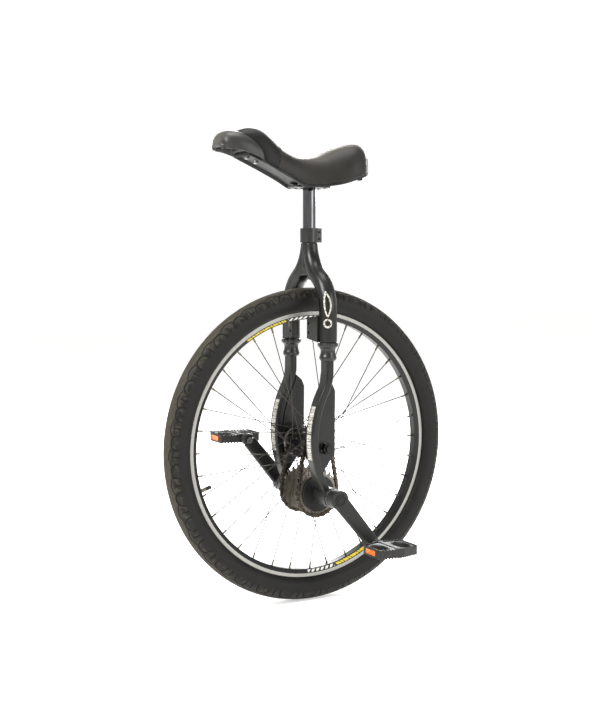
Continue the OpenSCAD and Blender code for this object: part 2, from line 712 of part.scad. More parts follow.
module crank_cap(a) color("#0f0f10") crank_turn(a) difference() {
  along_y(boss_y1 - 4, boss_y1 + 1.5) circle(12);
  along_y(boss_y1 - 1.5, boss_y1 + 2) circle(d = 10, $fn = 6);
}

module pedal_axle(a) color("#6a6c6e") crank_turn(a) translate([-crank_l, 0, 0]) {
  along_y(boss_y1 - arm_t, boss_y1) circle(7);
  along_y(boss_y1, boss_y1 + 6) circle(9);
  along_y(boss_y1, pedal_y + pedal_w / 2 - 7) circle(pedal_bore_r);
}

// ---------- pedals ----------

// Outline of a pedal from above: straight front and rear, widest at the axle
module pedal_shape(m) polygon([
  [pedal_l / 2 - m, pedal_end_w / 2 - m / 2], [3, pedal_w / 2 - m],
  [-3, pedal_w / 2 - m], [-pedal_l / 2 + m, pedal_end_w / 2 - m / 2],
  [-pedal_l / 2 + m, -pedal_end_w / 2 + m / 2], [-3, -pedal_w / 2 + m],
  [3, -pedal_w / 2 + m], [pedal_l / 2 - m, -pedal_end_w / 2 + m / 2]]);

module at_pedal(side) translate([side * pedal_x, pedal_y, crank_z + side * pedal_dz]) children();

module pedal_cage(side) color("#1a1a1b") at_pedal(side) difference() {
  translate([0, 0, -pedal_t / 2]) linear_extrude(pedal_t) difference() {
    pedal_shape(0);
    pedal_shape(3);
  }
  rotate([90, 0, 0]) cylinder(r = 11, h = 200, center = true);
  for (z = [-1, 1], x = [-3.5 : 1 : 3.5], y = [-1, 1])
    translate([x * 12 - 2.5, y * 36 - 20, z * pedal_t / 2 - 1.6]) cube([5, 40, 3.2]);
}

module pedal_body(side) color("#141415") at_pedal(side) difference() {
  union() {
    rotate([90, 0, 0]) cylinder(r = 10.7, h = pedal_w, center = true);
    intersection() {
      translate([0, 0, -5]) linear_extrude(10) difference() {
        pedal_shape(3);
        for (x = [-1, 1]) translate([x * 34, 0]) scale([1, 1]) circle(25);
      }
      cube([pedal_l, pedal_w, 10], center = true);
    }
  }
  translate([0, -7, 0]) rotate([90, 0, 0])
    cylinder(r = pedal_bore_r + run_clear, h = pedal_w, center = true);
}

// ---------- seat ----------

module seat_post() color("#4a4c4e") translate([0, 0, post_bottom_z]) difference() {
  cylinder(r = post_r, h = post_l);
  translate([0, 0, -1]) cylinder(r = post_r - 2, h = post_l - 8);
}

module seat_post_plate() color("#2a2b2c") translate([0, 0, post_top_z]) linear_extrude(post_plate_t)
  difference() {
    round_rect(84, 42, 6);
    for (x = [-1, 1], y = [-1, 1]) translate([x * plate_bolt_x, y * plate_bolt_y])
      circle(bolt_r, $fn = 32);
  }

// Half outline of the saddle from above, from back to front, drawn in by m
function plan_half(m) = [[saddle_back + m, 42 - m], [saddle_back + 14 + m, saddle_rear_w / 2 - 9 - m],
  [-80 * saddle_k, saddle_rear_w / 2 - m], [-50 * saddle_k, saddle_rear_w / 2 - 6 - m],
  [-15 * saddle_k, saddle_front_w / 2 + 10 - m], [20 * saddle_k, saddle_front_w / 2 + 1 - m],
  [60 * saddle_k, saddle_front_w / 2 - 3 - m], [120 * saddle_k, saddle_front_w / 2 - m],
  [175 * saddle_k, saddle_front_w / 2 - 2 - m], [saddle_front - 14 - m, saddle_front_w / 2 - 12 - m],
  [saddle_front - m, 18 - m]];
function flip_back(v) = [for (i = [len(v) - 1 : -1 : 0]) [v[i][0], -v[i][1]]];
function raised(v, h) = [for (p = v) [p[0], p[1] + h]];
function reversed(v) = [for (i = [len(v) - 1 : -1 : 0]) v[i]];

module plan(m) translate([0, 0, -60]) linear_extrude(260)
  polygon(concat(plan_half(m), flip_back(plan_half(m))));
module side(points) along_y(-100, 100) polygon(points);
module at_saddle() translate([0, 0, base_z]) children();
module nose_bolt_holes() for (x = nose_bolts) translate([x * saddle_k, 0, 0])
  cylinder(r = bolt_r, h = nose_block_z(x) + nose_bolt_l, $fn = 32);

// Moulded tray under the pad, with a raised block over the post plate
module saddle_base() color("#18191a") at_saddle() difference() {
  union() {
    intersection() {
      plan(2);
      difference() {
        side(concat(under, reversed(raised(under, base_h))));
        translate([tray_front * saddle_k, -100, -50]) cube([150, 200, 250]);
      }
      difference() {
        translate([-200, -100, -60]) cube([400, 200, 260]);
        intersection() {
          plan(2 + base_wall);
          side(concat(raised(under, -2), reversed(raised(under, base_h - base_wall))));
        }
      }
    }
    translate([-46, -24, 0]) cube([92, 48, 3]);
    for (x = nose_bolts) translate([x * saddle_k - 8, -10, nose_block_z(x)]) cube([16, 20, 3.2]);
  }
  translate([-42.3, -21.3, -20]) cube([84.6, 42.6, 20]);
  for (x = [-1, 1], y = [-1, 1]) translate([x * plate_bolt_x, y * plate_bolt_y, -20])
    cylinder(r = bolt_r, h = 60, $fn = 32);
  nose_bolt_holes();
  for (y = [-20, 20]) translate([saddle_back - 5, y, bumper_bolt_z]) rotate([0, 90, 0])
    cylinder(r = bolt_r, h = 14, $fn = 32);
}

module saddle_pad() color("#262728") at_saddle() intersection() {
  plan(0);
  side(concat([for (i = [0 : 6]) under[i] + [0, base_h]], [nose_front[0]], nose_back, pad_top));
}

// Nose shell with room for the fingers under it
module saddle_handle() color("#303133") at_saddle() difference() {
  intersection() {
    plan(0);
    side(concat(nose_front, reversed(nose_back)));
  }
  translate([171 * saddle_k, -31, -20]) cube([41 * saddle_k, 62, 106]);
  nose_bolt_holes();
}

module rear_bumper() color("#9a9b9a") at_saddle() difference() {
  union() {
    translate([saddle_back, -30, 37]) cube([3.7, 60, 26]);
    translate([saddle_back - 3, -30, 22]) cube([3, 60, 41]);
  }
  for (y = [-20, 20]) translate([saddle_back - 5, y, bumper_bolt_z]) rotate([0, 90, 0])
    cylinder(r = bolt_r, h = 20, $fn = 32);
}

module bolt(l) {
  cylinder(r = bolt_r, h = l, $fn = 32);
  translate([0, 0, -3]) cylinder(r = bolt_head_r, h = 3, $fn = 32);
}

module saddle_bolts() color("#c4c3bf") at_saddle() {
  for (x = [-1, 1], y = [-1, 1]) translate([x * plate_bolt_x, y * plate_bolt_y, -post_plate_t])
    bolt(post_plate_t + 3);
  for (x = nose_bolts) translate([x * saddle_k, 0, nose_block_z(x)]) bolt(nose_bolt_l);
  for (y = [-20, 20]) translate([saddle_back - 3, y, bumper_bolt_z]) rotate([0, 90, 0]) bolt(10);
}

seat_tube();
leg_tube();  // left_leg_tube
right() leg_tube();  // right_leg_tube
crown_web();
leg_collar();  // left_leg_collar
right() leg_collar();  // right_leg_collar
lower_leg();  // left_lower_leg
right() lower_leg();  // right_lower_leg
dropout_plate();  // left_dropout_plate
right() dropout_plate();  // right_dropout_plate
brake_mount();  // left_brake_mount
right() brake_mount();  // right_brake_mount
bearing_shell();  // left_bearing_shell
right() bearing_shell();  // right_bearing_shell
crank_bearings();
bearing_seals();
seat_clamp();
clamp_bolts();
hub_axle();
axle_nuts();
axle_washers();
axle_spacers();
chain();  // left_chain
right() chain();  // right_chain
seat_post();
seat_post_plate();
saddle_bolts();
saddle_base();
saddle_pad();
saddle_handle();
rear_bumper();
hub_shell();
hub_bearings();
sprocket();  // left_sprocket
right() sprocket();  // right_sprocket
sprocket_bolts();
spokes();
nipples();
rim();
rim_tape();
inner_tube();
valve_stem();
valve_cap();
tyre();
spindle();  // left_crank_spindle
chainring();  // left_chainring
ring_carrier();  // left_ring_carrier
crank_arm(-crank_a);  // left_crank_arm
crank_cap(-crank_a);  // left_crank_cap
pedal_axle(-crank_a);  // left_pedal_axle
right() spindle();  // right_crank_spindle
right() chainring();  // right_chainring
right() ring_carrier();  // right_ring_carrier
right() crank_arm(180 - crank_a);  // right_crank_arm
right() crank_cap(180 - crank_a);  // right_crank_cap
right() pedal_axle(180 - crank_a);  // right_pedal_axle
pedal_cage(1);  // left_pedal_cage
pedal_body(1);  // left_pedal_body
right() pedal_cage(-1);  // right_pedal_cage
right() pedal_body(-1);  // right_pedal_body
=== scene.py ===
import json
import math
import bmesh
import bpy
import numpy as np
from mathutils import Matrix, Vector
from mathutils.bvhtree import BVHTree

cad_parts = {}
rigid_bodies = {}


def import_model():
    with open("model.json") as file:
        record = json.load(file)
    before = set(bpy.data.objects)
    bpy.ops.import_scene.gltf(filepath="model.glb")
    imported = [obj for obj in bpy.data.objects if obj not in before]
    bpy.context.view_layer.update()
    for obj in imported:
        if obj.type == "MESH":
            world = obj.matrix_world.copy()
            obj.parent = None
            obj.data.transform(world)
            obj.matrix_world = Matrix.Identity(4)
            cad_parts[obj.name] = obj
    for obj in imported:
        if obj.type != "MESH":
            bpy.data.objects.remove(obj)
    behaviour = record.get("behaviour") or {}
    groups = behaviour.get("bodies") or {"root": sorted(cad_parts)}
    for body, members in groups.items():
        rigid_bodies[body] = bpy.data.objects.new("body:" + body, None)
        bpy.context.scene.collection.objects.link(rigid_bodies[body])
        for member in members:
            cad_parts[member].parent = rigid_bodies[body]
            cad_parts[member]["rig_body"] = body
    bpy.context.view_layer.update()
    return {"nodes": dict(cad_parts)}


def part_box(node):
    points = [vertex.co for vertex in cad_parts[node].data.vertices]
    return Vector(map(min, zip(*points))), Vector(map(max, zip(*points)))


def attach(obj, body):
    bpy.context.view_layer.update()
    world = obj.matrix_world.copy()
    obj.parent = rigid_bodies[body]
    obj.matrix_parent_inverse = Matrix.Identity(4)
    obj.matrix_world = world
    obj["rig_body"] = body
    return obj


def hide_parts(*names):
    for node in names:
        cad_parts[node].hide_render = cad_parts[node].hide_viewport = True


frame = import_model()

# ---------- sizes, in millimetres ----------

MM = 0.001


def span(node):
    """Lowest and highest corner of a CAD node, in millimetres."""
    low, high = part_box(node)
    return np.array(low) / MM, np.array(high) / MM


def middle(node):
    """Middle of a CAD node's box, in millimetres."""
    return sum(span(node)) / 2


# Wheel
tyre_low, tyre_high = span("tyre")
TYRE_R = (tyre_high[0] - tyre_low[0]) / 2
TYRE_W = tyre_high[1] - tyre_low[1]
AXLE = np.array([0, 0, middle("tyre")[2]])
RIM_R = (span("rim")[1] - span("rim")[0])[0] / 2
RIM_W = (span("rim")[1] - span("rim")[0])[1]
RIM_SECTION, FLANGE_W = 16.5, 3
RIM_IN_R = RIM_R - RIM_SECTION
SEAT_HALF = RIM_W / 2 - FLANGE_W
TREAD_REPEATS, TREAD_SLICES = 35, 31
TREAD_EDGE, NO_GROOVE = 38, 9
HOOF_HALF, HOOF_DEEP, HOOF_POWER = 16, 19, 2.4
GROOVE_DEEP, CAP_T = 1.3, 0.7

# Frame
LEG_Y = middle("left_leg_collar")[1]
COLLAR_Z = span("left_leg_collar")[0][2]
LEG_R = span("left_leg_tube")[1][0]
LEG_BOTTOM_Z, LEG_TOP_Z = span("left_leg_tube")[0][2], span("left_leg_tube")[1][2]
SEAT_TUBE_R = span("seat_tube")[1][0]
SEAT_TUBE_Z = span("seat_tube")[0][2], span("seat_tube")[1][2]
CRANK = np.array([0, 0, middle("left_bearing_shell")[2]])
LOWER_X, BOW_OUT, BOW_R, BOW_A = 1.4, 36, 212, math.radians(28)
LOWER_W = 30
LOWER_D = 16.5
BOW_Z = CRANK[2] + 120

# Cranks and pedals
BOSS_Y = span("left_crank_arm")[0][1], span("left_crank_arm")[1][1]
PEDAL = middle("left_pedal_body")
PEDAL_L, PEDAL_END_W, PEDAL_T = 96, 60, 20
PEDAL_W = 80

# Seat
POST_R = span("seat_post")[1][0]
BASE_Z = span("seat_post_plate")[1][2]

# ---------- shapes ----------


def spline(points, count):
    """count points along a smooth curve through the given ones: each stretch is a cubic whose slope at
    a given point is half the step between that point's two neighbours."""
    p = np.asarray(points, float)
    q = np.vstack([2 * p[0] - p[1], p, 2 * p[-1] - p[-2]])
    u = np.linspace(0, len(p) - 1, count)
    i = np.minimum(u.astype(int), len(p) - 2)
    t = (u - i)[:, None]
    a, b, c, d = q[i], q[i + 1], q[i + 2], q[i + 3]
    return (2 * b + (c - a) * t + (2 * a - 5 * b + 4 * c - d) * t**2 + (3 * b - a - 3 * c + d) * t**3) / 2


def rounded(corners, reach, steps=5):
    """A closed outline with each corner replaced by a quadratic curve that leaves the two edges at most
    reach from the corner, or a little under half an edge where the edge is short. reach is one number,
    or one for each corner."""
    p = np.asarray(corners, float)
    reach = np.broadcast_to(reach, len(p))
    out = []
    for k, corner in enumerate(p):
        ends = []
        for other in (p[k - 1], p[(k + 1) % len(p)]):
            step = other - corner
            length = np.linalg.norm(step)
            ends.append(corner + step / length * min(reach[k], 0.48 * length))
        t = np.linspace(0, 1, steps)[:, None]
        out.append(ends[0] * (1 - t) ** 2 + corner * 2 * t * (1 - t) + ends[1] * t**2)
    return np.vstack(out)


def skin(grid, along=False):
    """Points and quads of a grid (rows, columns, 3) whose columns close on themselves. The rows close
    too where along is true, and otherwise each end row is filled with one face."""
    rows, cols = grid.shape[:2]
    i = np.arange(rows if along else rows - 1)[:, None]
    j = np.arange(cols)[None, :]
    k, m = (i + 1) % rows, (j + 1) % cols
    faces = np.stack([i * cols + j, i * cols + m, k * cols + m, k * cols + j], -1).reshape(-1, 4).tolist()
    if not along:
        faces += [list(range(cols)), list(range((rows - 1) * cols, rows * cols))]
    return grid.reshape(-1, 3), faces


def turned(profile, centre, count=96, axis=1):
    """A closed profile of (radius, distance along the axis) turned round the Y axis, or Z where axis is
    2, through centre: a point's two other coordinates are radius times the cosine and sine of the turn."""
    p = np.asarray(profile, float)
    turn = np.linspace(0, 2 * np.pi, count, endpoint=False)[:, None]
    grid = np.zeros((count, len(p), 3))
    grid[..., 0] = p[:, 0] * np.cos(turn)
    grid[..., 3 - axis] = p[:, 0] * np.sin(turn)
    grid[..., axis] = p[:, 1]
    return skin(grid + centre, along=True)


def swept(path, sides, ups, profile):
    """A closed profile of (side, up) carried along a path: each point is the path's own plus side and
    up times the two directions given for it."""
    path, sides, ups = (np.asarray(a, float)[:, None, :] for a in (path, sides, ups))
    profile = np.asarray(profile, float)
    return skin(path + sides * profile[None, :, :1] + ups * profile[None, :, 1:])


def slab(outline, low, high, edge, place):
    """An outline carried from low to high, with its rim rounded by edge: the outline is drawn in along
    its own normals by edge times one less the sine of a quarter turn. place maps (a, b, height) to 3-D."""
    p = np.asarray(outline, float)
    tangent = np.roll(p, -1, 0) - np.roll(p, 1, 0)
    normal = np.stack([tangent[:, 1], -tangent[:, 0]], 1)
    normal /= np.linalg.norm(normal, axis=1)[:, None]
    area = np.sum(p[:, 0] * np.roll(p[:, 1], -1) - np.roll(p[:, 0], -1) * p[:, 1])
    normal *= np.sign(area)
    quarter = np.linspace(0, np.pi / 2, 4)
    rows = [(low + edge * (1 - math.sin(a)), edge * (1 - math.cos(a))) for a in quarter[::-1]]
    rows += [(high - edge * (1 - math.sin(a)), edge * (1 - math.cos(a))) for a in quarter]
    grid = [place(p[:, 0] - n * normal[:, 0], p[:, 1] - n * normal[:, 1], h) for h, n in rows]
    return skin(np.stack([np.stack(np.broadcast_arrays(*g), -1) for g in grid]))


def bar(p, q, radius, count=8):
    """A round bar between two points, with rounded ends: circles along the line, drawn in at both ends."""
    p, q = np.asarray(p, float), np.asarray(q, float)
    along = (q - p) / np.linalg.norm(q - p)
    side = np.cross(along, [0.3, 0.5, 0.8])
    side /= np.linalg.norm(side)
    up = np.cross(along, side)
    turn = np.linspace(0, 2 * np.pi, count, endpoint=False)
    ring = np.outer(np.cos(turn), side) + np.outer(np.sin(turn), up)
    rows = [(p, 0.45), (p + along * radius * 0.5, 1), (q - along * radius * 0.5, 1), (q, 0.45)]
    return skin(np.stack([at + ring * radius * share for at, share in rows]))


def mirrored(shells):
    """The same shells on the other side of the middle plane."""
    return [(points * [1, -1, 1], faces) for points, faces in shells]


def opposite(shells):
    """The same shells on the right, where the crank stands half a turn on: X and Y change sign, and Z
    turns over about the crank's axis."""
    return [(points * [-1, -1, -1] + 2 * CRANK, faces) for points, faces in shells]


def clean(mesh):
    """Merges doubled points and turns every face outwards."""
    bm = bmesh.new()
    bm.from_mesh(mesh)
    bmesh.ops.remove_doubles(bm, verts=bm.verts, dist=1e-6)
    bmesh.ops.recalc_face_normals(bm, faces=bm.faces)
    bm.to_mesh(mesh)
    bm.free()


def positions(mesh):
    """A mesh's points, in millimetres."""
    co = np.zeros(len(mesh.vertices) * 3, np.float32)
    mesh.vertices.foreach_get("co", co)
    return co.reshape(-1, 3).astype(float) / MM


def move_to(mesh, points):
    """Puts a mesh's points at new places, given in millimetres."""
    mesh.vertices.foreach_set("co", (points * MM).astype(np.float32).ravel())
    mesh.update()


def show(obj, body, stands_for=(), sharp=35, masks=None):
    """Finishes a piece: smooth faces, sharp edges past an angle, masks stored on its points, and the
    body it rides on. Each mask is a function of the points in millimetres."""
    obj.data.shade_smooth()
    obj.data.set_sharp_from_angle(angle=math.radians(sharp))
    for name, mask in (masks or {}).items():
        layer = obj.data.attributes.new(name, "FLOAT", "POINT")
        layer.data.foreach_set("value", mask(positions(obj.data)).astype(np.float32))
    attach(obj, body)
    if stands_for:
        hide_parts(*stands_for)
    return obj


def raw(name, shells, material):
    """Joins shells, each of points in millimetres and faces, into one object with one material."""
    points, faces, start = [], [], 0
    for p, f in shells:
        points.append(p)
        faces += [[k + start for k in face] for face in f]
        start += len(p)
    mesh = bpy.data.meshes.new(name)
    mesh.from_pydata((np.vstack(points) * MM).tolist(), [], faces)
    clean(mesh)
    mesh.materials.append(material)
    obj = bpy.data.objects.new(name, mesh)
    bpy.context.scene.collection.objects.link(obj)
    return obj


def made(name, shells, material, body, stands_for=(), sharp=35, masks=None):
    """Builds a piece from its shells and finishes it."""
    return show(raw(name, shells, material), body, stands_for, sharp, masks)


def eased(node, material, width=0.5):
    """A copy of a CAD node with its flat faces made whole and its edges broken by a small bevel, as
    machined and pressed metal has them. It stands for the node."""
    source = frame["nodes"][node]
    mesh = source.data.copy()
    bm = bmesh.new()
    bm.from_mesh(mesh)
    bmesh.ops.remove_doubles(bm, verts=bm.verts, dist=1e-6)
    bmesh.ops.dissolve_limit(bm, angle_limit=math.radians(1), verts=bm.verts, edges=bm.edges)
    bm.to_mesh(mesh)
    bm.free()
    mesh.materials.clear()
    mesh.materials.append(material)
    obj = bpy.data.objects.new(node + "_eased", mesh)
    bpy.context.scene.collection.objects.link(obj)
    bevel = obj.modifiers.new("eased edges", "BEVEL")
    bevel.width = width * MM
    bevel.segments = 2
    bevel.limit_method = "ANGLE"
    bevel.angle_limit = math.radians(40)
    bevel.harden_normals = True
    return show(obj, source["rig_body"], [node], sharp=40)


# ---------- materials ----------


def linear(colour):
    """An sRGB hex colour as linear red, green, blue and alpha."""
    s = [int(colour[k:k + 2], 16) / 255 for k in (1, 3, 5)]
    return [c / 12.92 if c <= 0.04045 else ((c + 0.055) / 1.055) ** 2.4 for c in s] + [1.0]


def add(material, kind, inputs=None, stops=None, **settings):
    """Adds a node. inputs maps its inputs to values, hex colours or other nodes' outputs."""
    node = material.node_tree.nodes.new(kind)
    for key, value in settings.items():
        setattr(node, key, value)
    for key, value in (inputs or {}).items():
        if isinstance(value, bpy.types.NodeSocket):
            material.node_tree.links.new(value, node.inputs[key])
        else:
            node.inputs[key].default_value = linear(value) if isinstance(value, str) else value
    if stops:
        for element, (at, colour) in zip(node.color_ramp.elements, stops):
            element.position, element.color = at, linear(colour)
    return node


def finish(name, dark, light, patch, rough, grain, relief, metallic=0.0, stretch=(1, 1, 1), **sockets):
    """A surface whose colour drifts from dark to light over patches of patch millimetres, whose
    roughness follows the same patches, and whose relief has grains of grain millimetres. stretch
    draws the grain out along an axis, as brushing does."""
    material = bpy.data.materials.new(name)
    material.use_nodes = True
    shader = material.node_tree.nodes["Principled BSDF"]
    place = add(material, "ShaderNodeTexCoord")
    lay = add(material, "ShaderNodeMapping", {"Vector": place.outputs["Object"], "Scale": stretch})
    patches = add(material, "ShaderNodeTexNoise",
                  {"Vector": lay.outputs[0], "Scale": 1 / (patch * MM), "Detail": 5, "Roughness": 0.6})
    tint = add(material, "ShaderNodeValToRGB", {"Fac": patches.outputs["Fac"]},
               stops=[(0.32, dark), (0.68, light)])
    gloss = add(material, "ShaderNodeMapRange",
                {"Value": patches.outputs["Fac"], "From Min": 0.3, "From Max": 0.7,
                 "To Min": rough[0], "To Max": rough[1]})
    grains = add(material, "ShaderNodeTexNoise",
                 {"Vector": lay.outputs[0], "Scale": 1 / (grain * MM), "Detail": 3})
    bump = add(material, "ShaderNodeBump", {"Height": grains.outputs["Fac"], "Distance": relief * MM})
    for socket, source in (("Base Color", tint.outputs["Color"]), ("Roughness", gloss.outputs[0]),
                           ("Normal", bump.outputs[0])):
        material.node_tree.links.new(source, shader.inputs[socket])
    shader.inputs["Metallic"].default_value = metallic
    for socket, value in sockets.items():
        shader.inputs[socket.replace("_", " ")].default_value = value
    return material


def laid_over(material, mask, colour, rough=None):
    """Puts a second colour, and a second roughness, over what a material has, where the mask is 1.
    The mask is a node's output, or the name of a mask stored on the points."""
    tree = material.node_tree
    shader = tree.nodes["Principled BSDF"]
    if isinstance(mask, str):
        mask = add(material, "ShaderNodeAttribute", attribute_name=mask).outputs["Fac"]
    under = shader.inputs["Base Color"].links[0].from_socket
    mix = add(material, "ShaderNodeMix", {0: mask, 6: under, 7: colour}, data_type="RGBA")
    tree.links.new(mix.outputs[2], shader.inputs["Base Color"])
    if rough is not None:
        under = shader.inputs["Roughness"].links[0].from_socket
        mix = add(material, "ShaderNodeMix", {0: mask, 2: under, 3: rough})
        tree.links.new(mix.outputs[0], shader.inputs["Roughness"])


def speckled(material, size, low, high):
    """A mask of irregular spots of about size millimetres: noise cut off between low and high."""
    place = add(material, "ShaderNodeTexCoord")
    noise = add(material, "ShaderNodeTexNoise",
                {"Vector": place.outputs["Object"], "Scale": 1 / (size * MM), "Detail": 4})
    return add(material, "ShaderNodeMapRange",
               {"Value": noise.outputs["Fac"], "From Min": low, "From Max": high}).outputs[0]


def powder_coat():
    """Satin black powder coat on steel: an even skin with a faint orange peel about 2 mm across."""
    return finish("satin powder coat", "#0e0f0d", "#161714", 60, (0.3, 0.4), 2.2, 0.05, Coat_Weight=0.15,
                  Coat_Roughness=0.16, Specular_IOR_Level=0.22)


def marked_powder_coat():
    """The same powder coat with pale screen-printed marks, worn through in spots about 3 mm across."""
    coat = powder_coat()
    coat.name = "satin powder coat with printed marks"
    inside = add(coat, "ShaderNodeAttribute", attribute_name="mark").outputs["Fac"]
    marks = add(coat, "ShaderNodeMapRange", {"Value": inside, "From Min": 0.0, "From Max": 0.6}).outputs[0]
    worn = speckled(coat, 3, 0.66, 0.46)
    kept = add(coat, "ShaderNodeMath", {0: marks, 1: worn}, operation="MULTIPLY")
    laid_over(coat, kept.outputs[0], "#b9b6ad", 0.45)
    return coat


def cast_alloy():
    """Black-painted cast and turned alloy: a little rougher than the powder coat, turned edges show."""
    return finish("black painted alloy", "#10110f", "#181816", 25, (0.30, 0.42), 0.9, 0.03, Coat_Weight=0.15,
                  Coat_Roughness=0.25, Specular_IOR_Level=0.35)


def anodised():
    """Black anodised aluminium: dark metal whose grain shows through a thin dyed layer."""
    return finish("black anodised aluminium", "#151515", "#1f1f1f", 18, (0.36, 0.48), 0.5, 0.012, 0.3,
                  Specular_IOR_Level=0.35)


def forged_crank():
    """Black anodised forging: fine blast texture, rubbed a little lighter in soft patches."""
    crank = finish("black anodised forging", "#131312", "#1b1b1a", 30, (0.36, 0.48), 0.6, 0.03, 0.2,
                   Specular_IOR_Level=0.35)
    laid_over(crank, speckled(crank, 14, 0.62, 0.8), "#2a2a29", 0.34)
    return crank


def ground_steel():
    """Ground steel: bright, with fine lines left by the wheel."""
    return finish("ground steel", "#8a8a88", "#a9a8a5", 6, (0.22, 0.34), 0.25, 0.008, 1.0, (1, 6, 1))


def bright_zinc():
    """Bright zinc plate: pale silver with a faint blue and yellow cast and dull spots."""
    return finish("bright zinc plate", "#a5a39a", "#c9c9c6", 5, (0.25, 0.42), 0.4, 0.01, 1.0)


def black_oxide():
    """Black oxide on steel: a thin brown-black skin that keeps the metal's sheen."""
    return finish("black oxide steel", "#111112", "#1d1c1b", 6, (0.32, 0.46), 0.4, 0.012, 0.6)


def chain_steel():
    """Oiled chain steel: brown film of oil and dust over grey plates."""
    chain = finish("oiled chain steel", "#2c2822", "#4a433a", 9, (0.34, 0.5), 0.5, 0.02, 0.85)
    laid_over(chain, speckled(chain, 5, 0.55, 0.75), "#6d6354", 0.3)
    return chain


def brushed_ring():
    """Stamped and brushed steel ring: long soft scratches, with a brown film of oil in patches."""
    ring = finish("brushed steel plate", "#57524a", "#7b756b", 22, (0.28, 0.42), 0.6, 0.015, 0.95, (5, 1, 1))
    laid_over(ring, speckled(ring, 16, 0.6, 0.85), "#45403a", 0.45)
    return ring


def dark_chrome():
    """Black chrome on the post: a dark mirror with faint lines drawn along it."""
    return finish("black chrome", "#4b4b4d", "#5c5c5e", 40, (0.07, 0.16), 1.2, 0.004, 1.0, (8, 8, 1))


def spoke_steel():
    """Drawn stainless spoke wire under a dull film of dust: dark grey-brown, few reflections."""
    return finish("drawn stainless wire", "#231f1a", "#36312a", 12, (0.4, 0.52), 0.4, 0.004, 0.35)


def nipple_brass():
    """Nickel-plated brass nipples and valve stem: warm grey, brighter than the spokes."""
    return finish("nickel-plated brass", "#4d483e", "#6d6758", 4, (0.25, 0.4), 0.4, 0.006, 0.9)


def rim_alloy():
    """Black anodised rim with brake bands machined bright: the bands keep the cutter's fine rings."""
    rim = finish("black anodised rim", "#121212", "#1a1a1a", 40, (0.3, 0.4), 1.0, 0.01, 0.3,
                 Specular_IOR_Level=0.4)
    place = add(rim, "ShaderNodeTexCoord")
    centre = add(rim, "ShaderNodeMapping", {"Vector": place.outputs["Object"],
                                            "Location": tuple(-AXLE * MM)})
    rings = add(rim, "ShaderNodeTexWave", {"Vector": centre.outputs[0], "Scale": 1 / (4 * MM),
                                           "Distortion": 1.5, "Detail Scale": 30},
                wave_type="RINGS", rings_direction="Y")
    metal = add(rim, "ShaderNodeValToRGB", {"Fac": rings.outputs["Fac"]},
                stops=[(0.2, "#7c7b76"), (0.8, "#a09f99")])
    band = add(rim, "ShaderNodeAttribute", attribute_name="band").outputs["Fac"]
    laid_over(rim, band, metal.outputs["Color"], 0.36)
    laid_over(rim, "yellow", "#c9b32c", 0.4)
    laid_over(rim, "white", "#d6d5cf", 0.4)
    return rim


def tyre_rubber():
    """Carbon-black tyre rubber: matt, with brown road dust over the tread, and near-black grooves that are
    bare rubber with painted shade.
    """
    rubber = finish("tyre rubber", "#0c0c0b", "#151412", 30, (0.44, 0.56), 1.1, 0.05, Specular_IOR_Level=0.18)
    laid_over(rubber, "crown", "#38342c", 0.8)
    dust = add(rubber, "ShaderNodeMath",
               {0: speckled(rubber, 9, 0.45, 0.75),
                1: add(rubber, "ShaderNodeAttribute", attribute_name="tread").outputs["Fac"]},
               operation="MULTIPLY")
    laid_over(rubber, dust.outputs[0], "#464136", 0.85)
    # Painted shade, partly the bare rubber: the grooves are coloured near black, darker than the dusty tread
    # round them.
    away = add(rubber, "ShaderNodeAttribute", attribute_name="groove").outputs["Fac"]
    laid_over(rubber, add(rubber, "ShaderNodeMapRange", {"Value": away, "From Min": 1.6, "From Max": 0.9}
                          ).outputs[0], "#0b0b0a", 0.8)
    return rubber


def saddle_cover():
    """Grained vinyl on the seat: a painted grey-brown sheen on the crown, where the light falls, and a smooth
    black panel over the hump.
    """
    vinyl = finish("grained vinyl", "#171613", "#201e1a", 45, (0.42, 0.55), 1.0, 0.09, Sheen_Weight=0.04,
                   Sheen_Roughness=0.4, Specular_IOR_Level=0.2)
    pebbles = add(vinyl, "ShaderNodeTexVoronoi",
                  {"Vector": add(vinyl, "ShaderNodeTexCoord").outputs["Object"], "Scale": 1 / (1.6 * MM)})
    shader = vinyl.node_tree.nodes["Principled BSDF"]
    under = shader.inputs["Normal"].links[0].from_socket
    bump = add(vinyl, "ShaderNodeBump", {"Height": pebbles.outputs["Distance"], "Distance": 0.12 * MM,
                                         "Normal": under}, invert=True)
    vinyl.node_tree.links.new(bump.outputs[0], shader.inputs["Normal"])
    # Painted sheen: the crown mask lays a lighter grey-brown over the top of the cover.
    laid_over(vinyl, "crown", "#4a453b", 0.5)
    laid_over(vinyl, "hump", "#070706", 0.5)
    laid_over(vinyl, "seam", "#100f0e", 0.7)
    return vinyl


def handle_shell():
    """Moulded soft rubber shell: dark grey and even, with a painted highlight, lighter and a little glossier,
    along its top where the light falls.
    """
    shell = finish("moulded rubber shell", "#191917", "#22211e", 35, (0.4, 0.5), 0.8, 0.03,
                   Specular_IOR_Level=0.35)
    # Painted highlight: the crown mask makes the top of the shell lighter grey, as if lit from above.
    laid_over(shell, "crown", "#45433d", 0.34)
    return shell


def tray_plastic():
    """Injection-moulded black plastic: fine spark-eroded texture."""
    return finish("moulded black plastic", "#0e0e0e", "#171717", 25, (0.42, 0.55), 0.5, 0.02,
                  Specular_IOR_Level=0.3)


def bumper_plastic():
    """Grey moulded bumper: dull, with darker scuffs in spots about 6 mm across."""
    plastic = finish("grey moulded bumper", "#85837e", "#98968f", 12, (0.42, 0.6), 0.6, 0.03)
    laid_over(plastic, speckled(plastic, 6, 0.6, 0.75), "#64625d", 0.7)
    return plastic


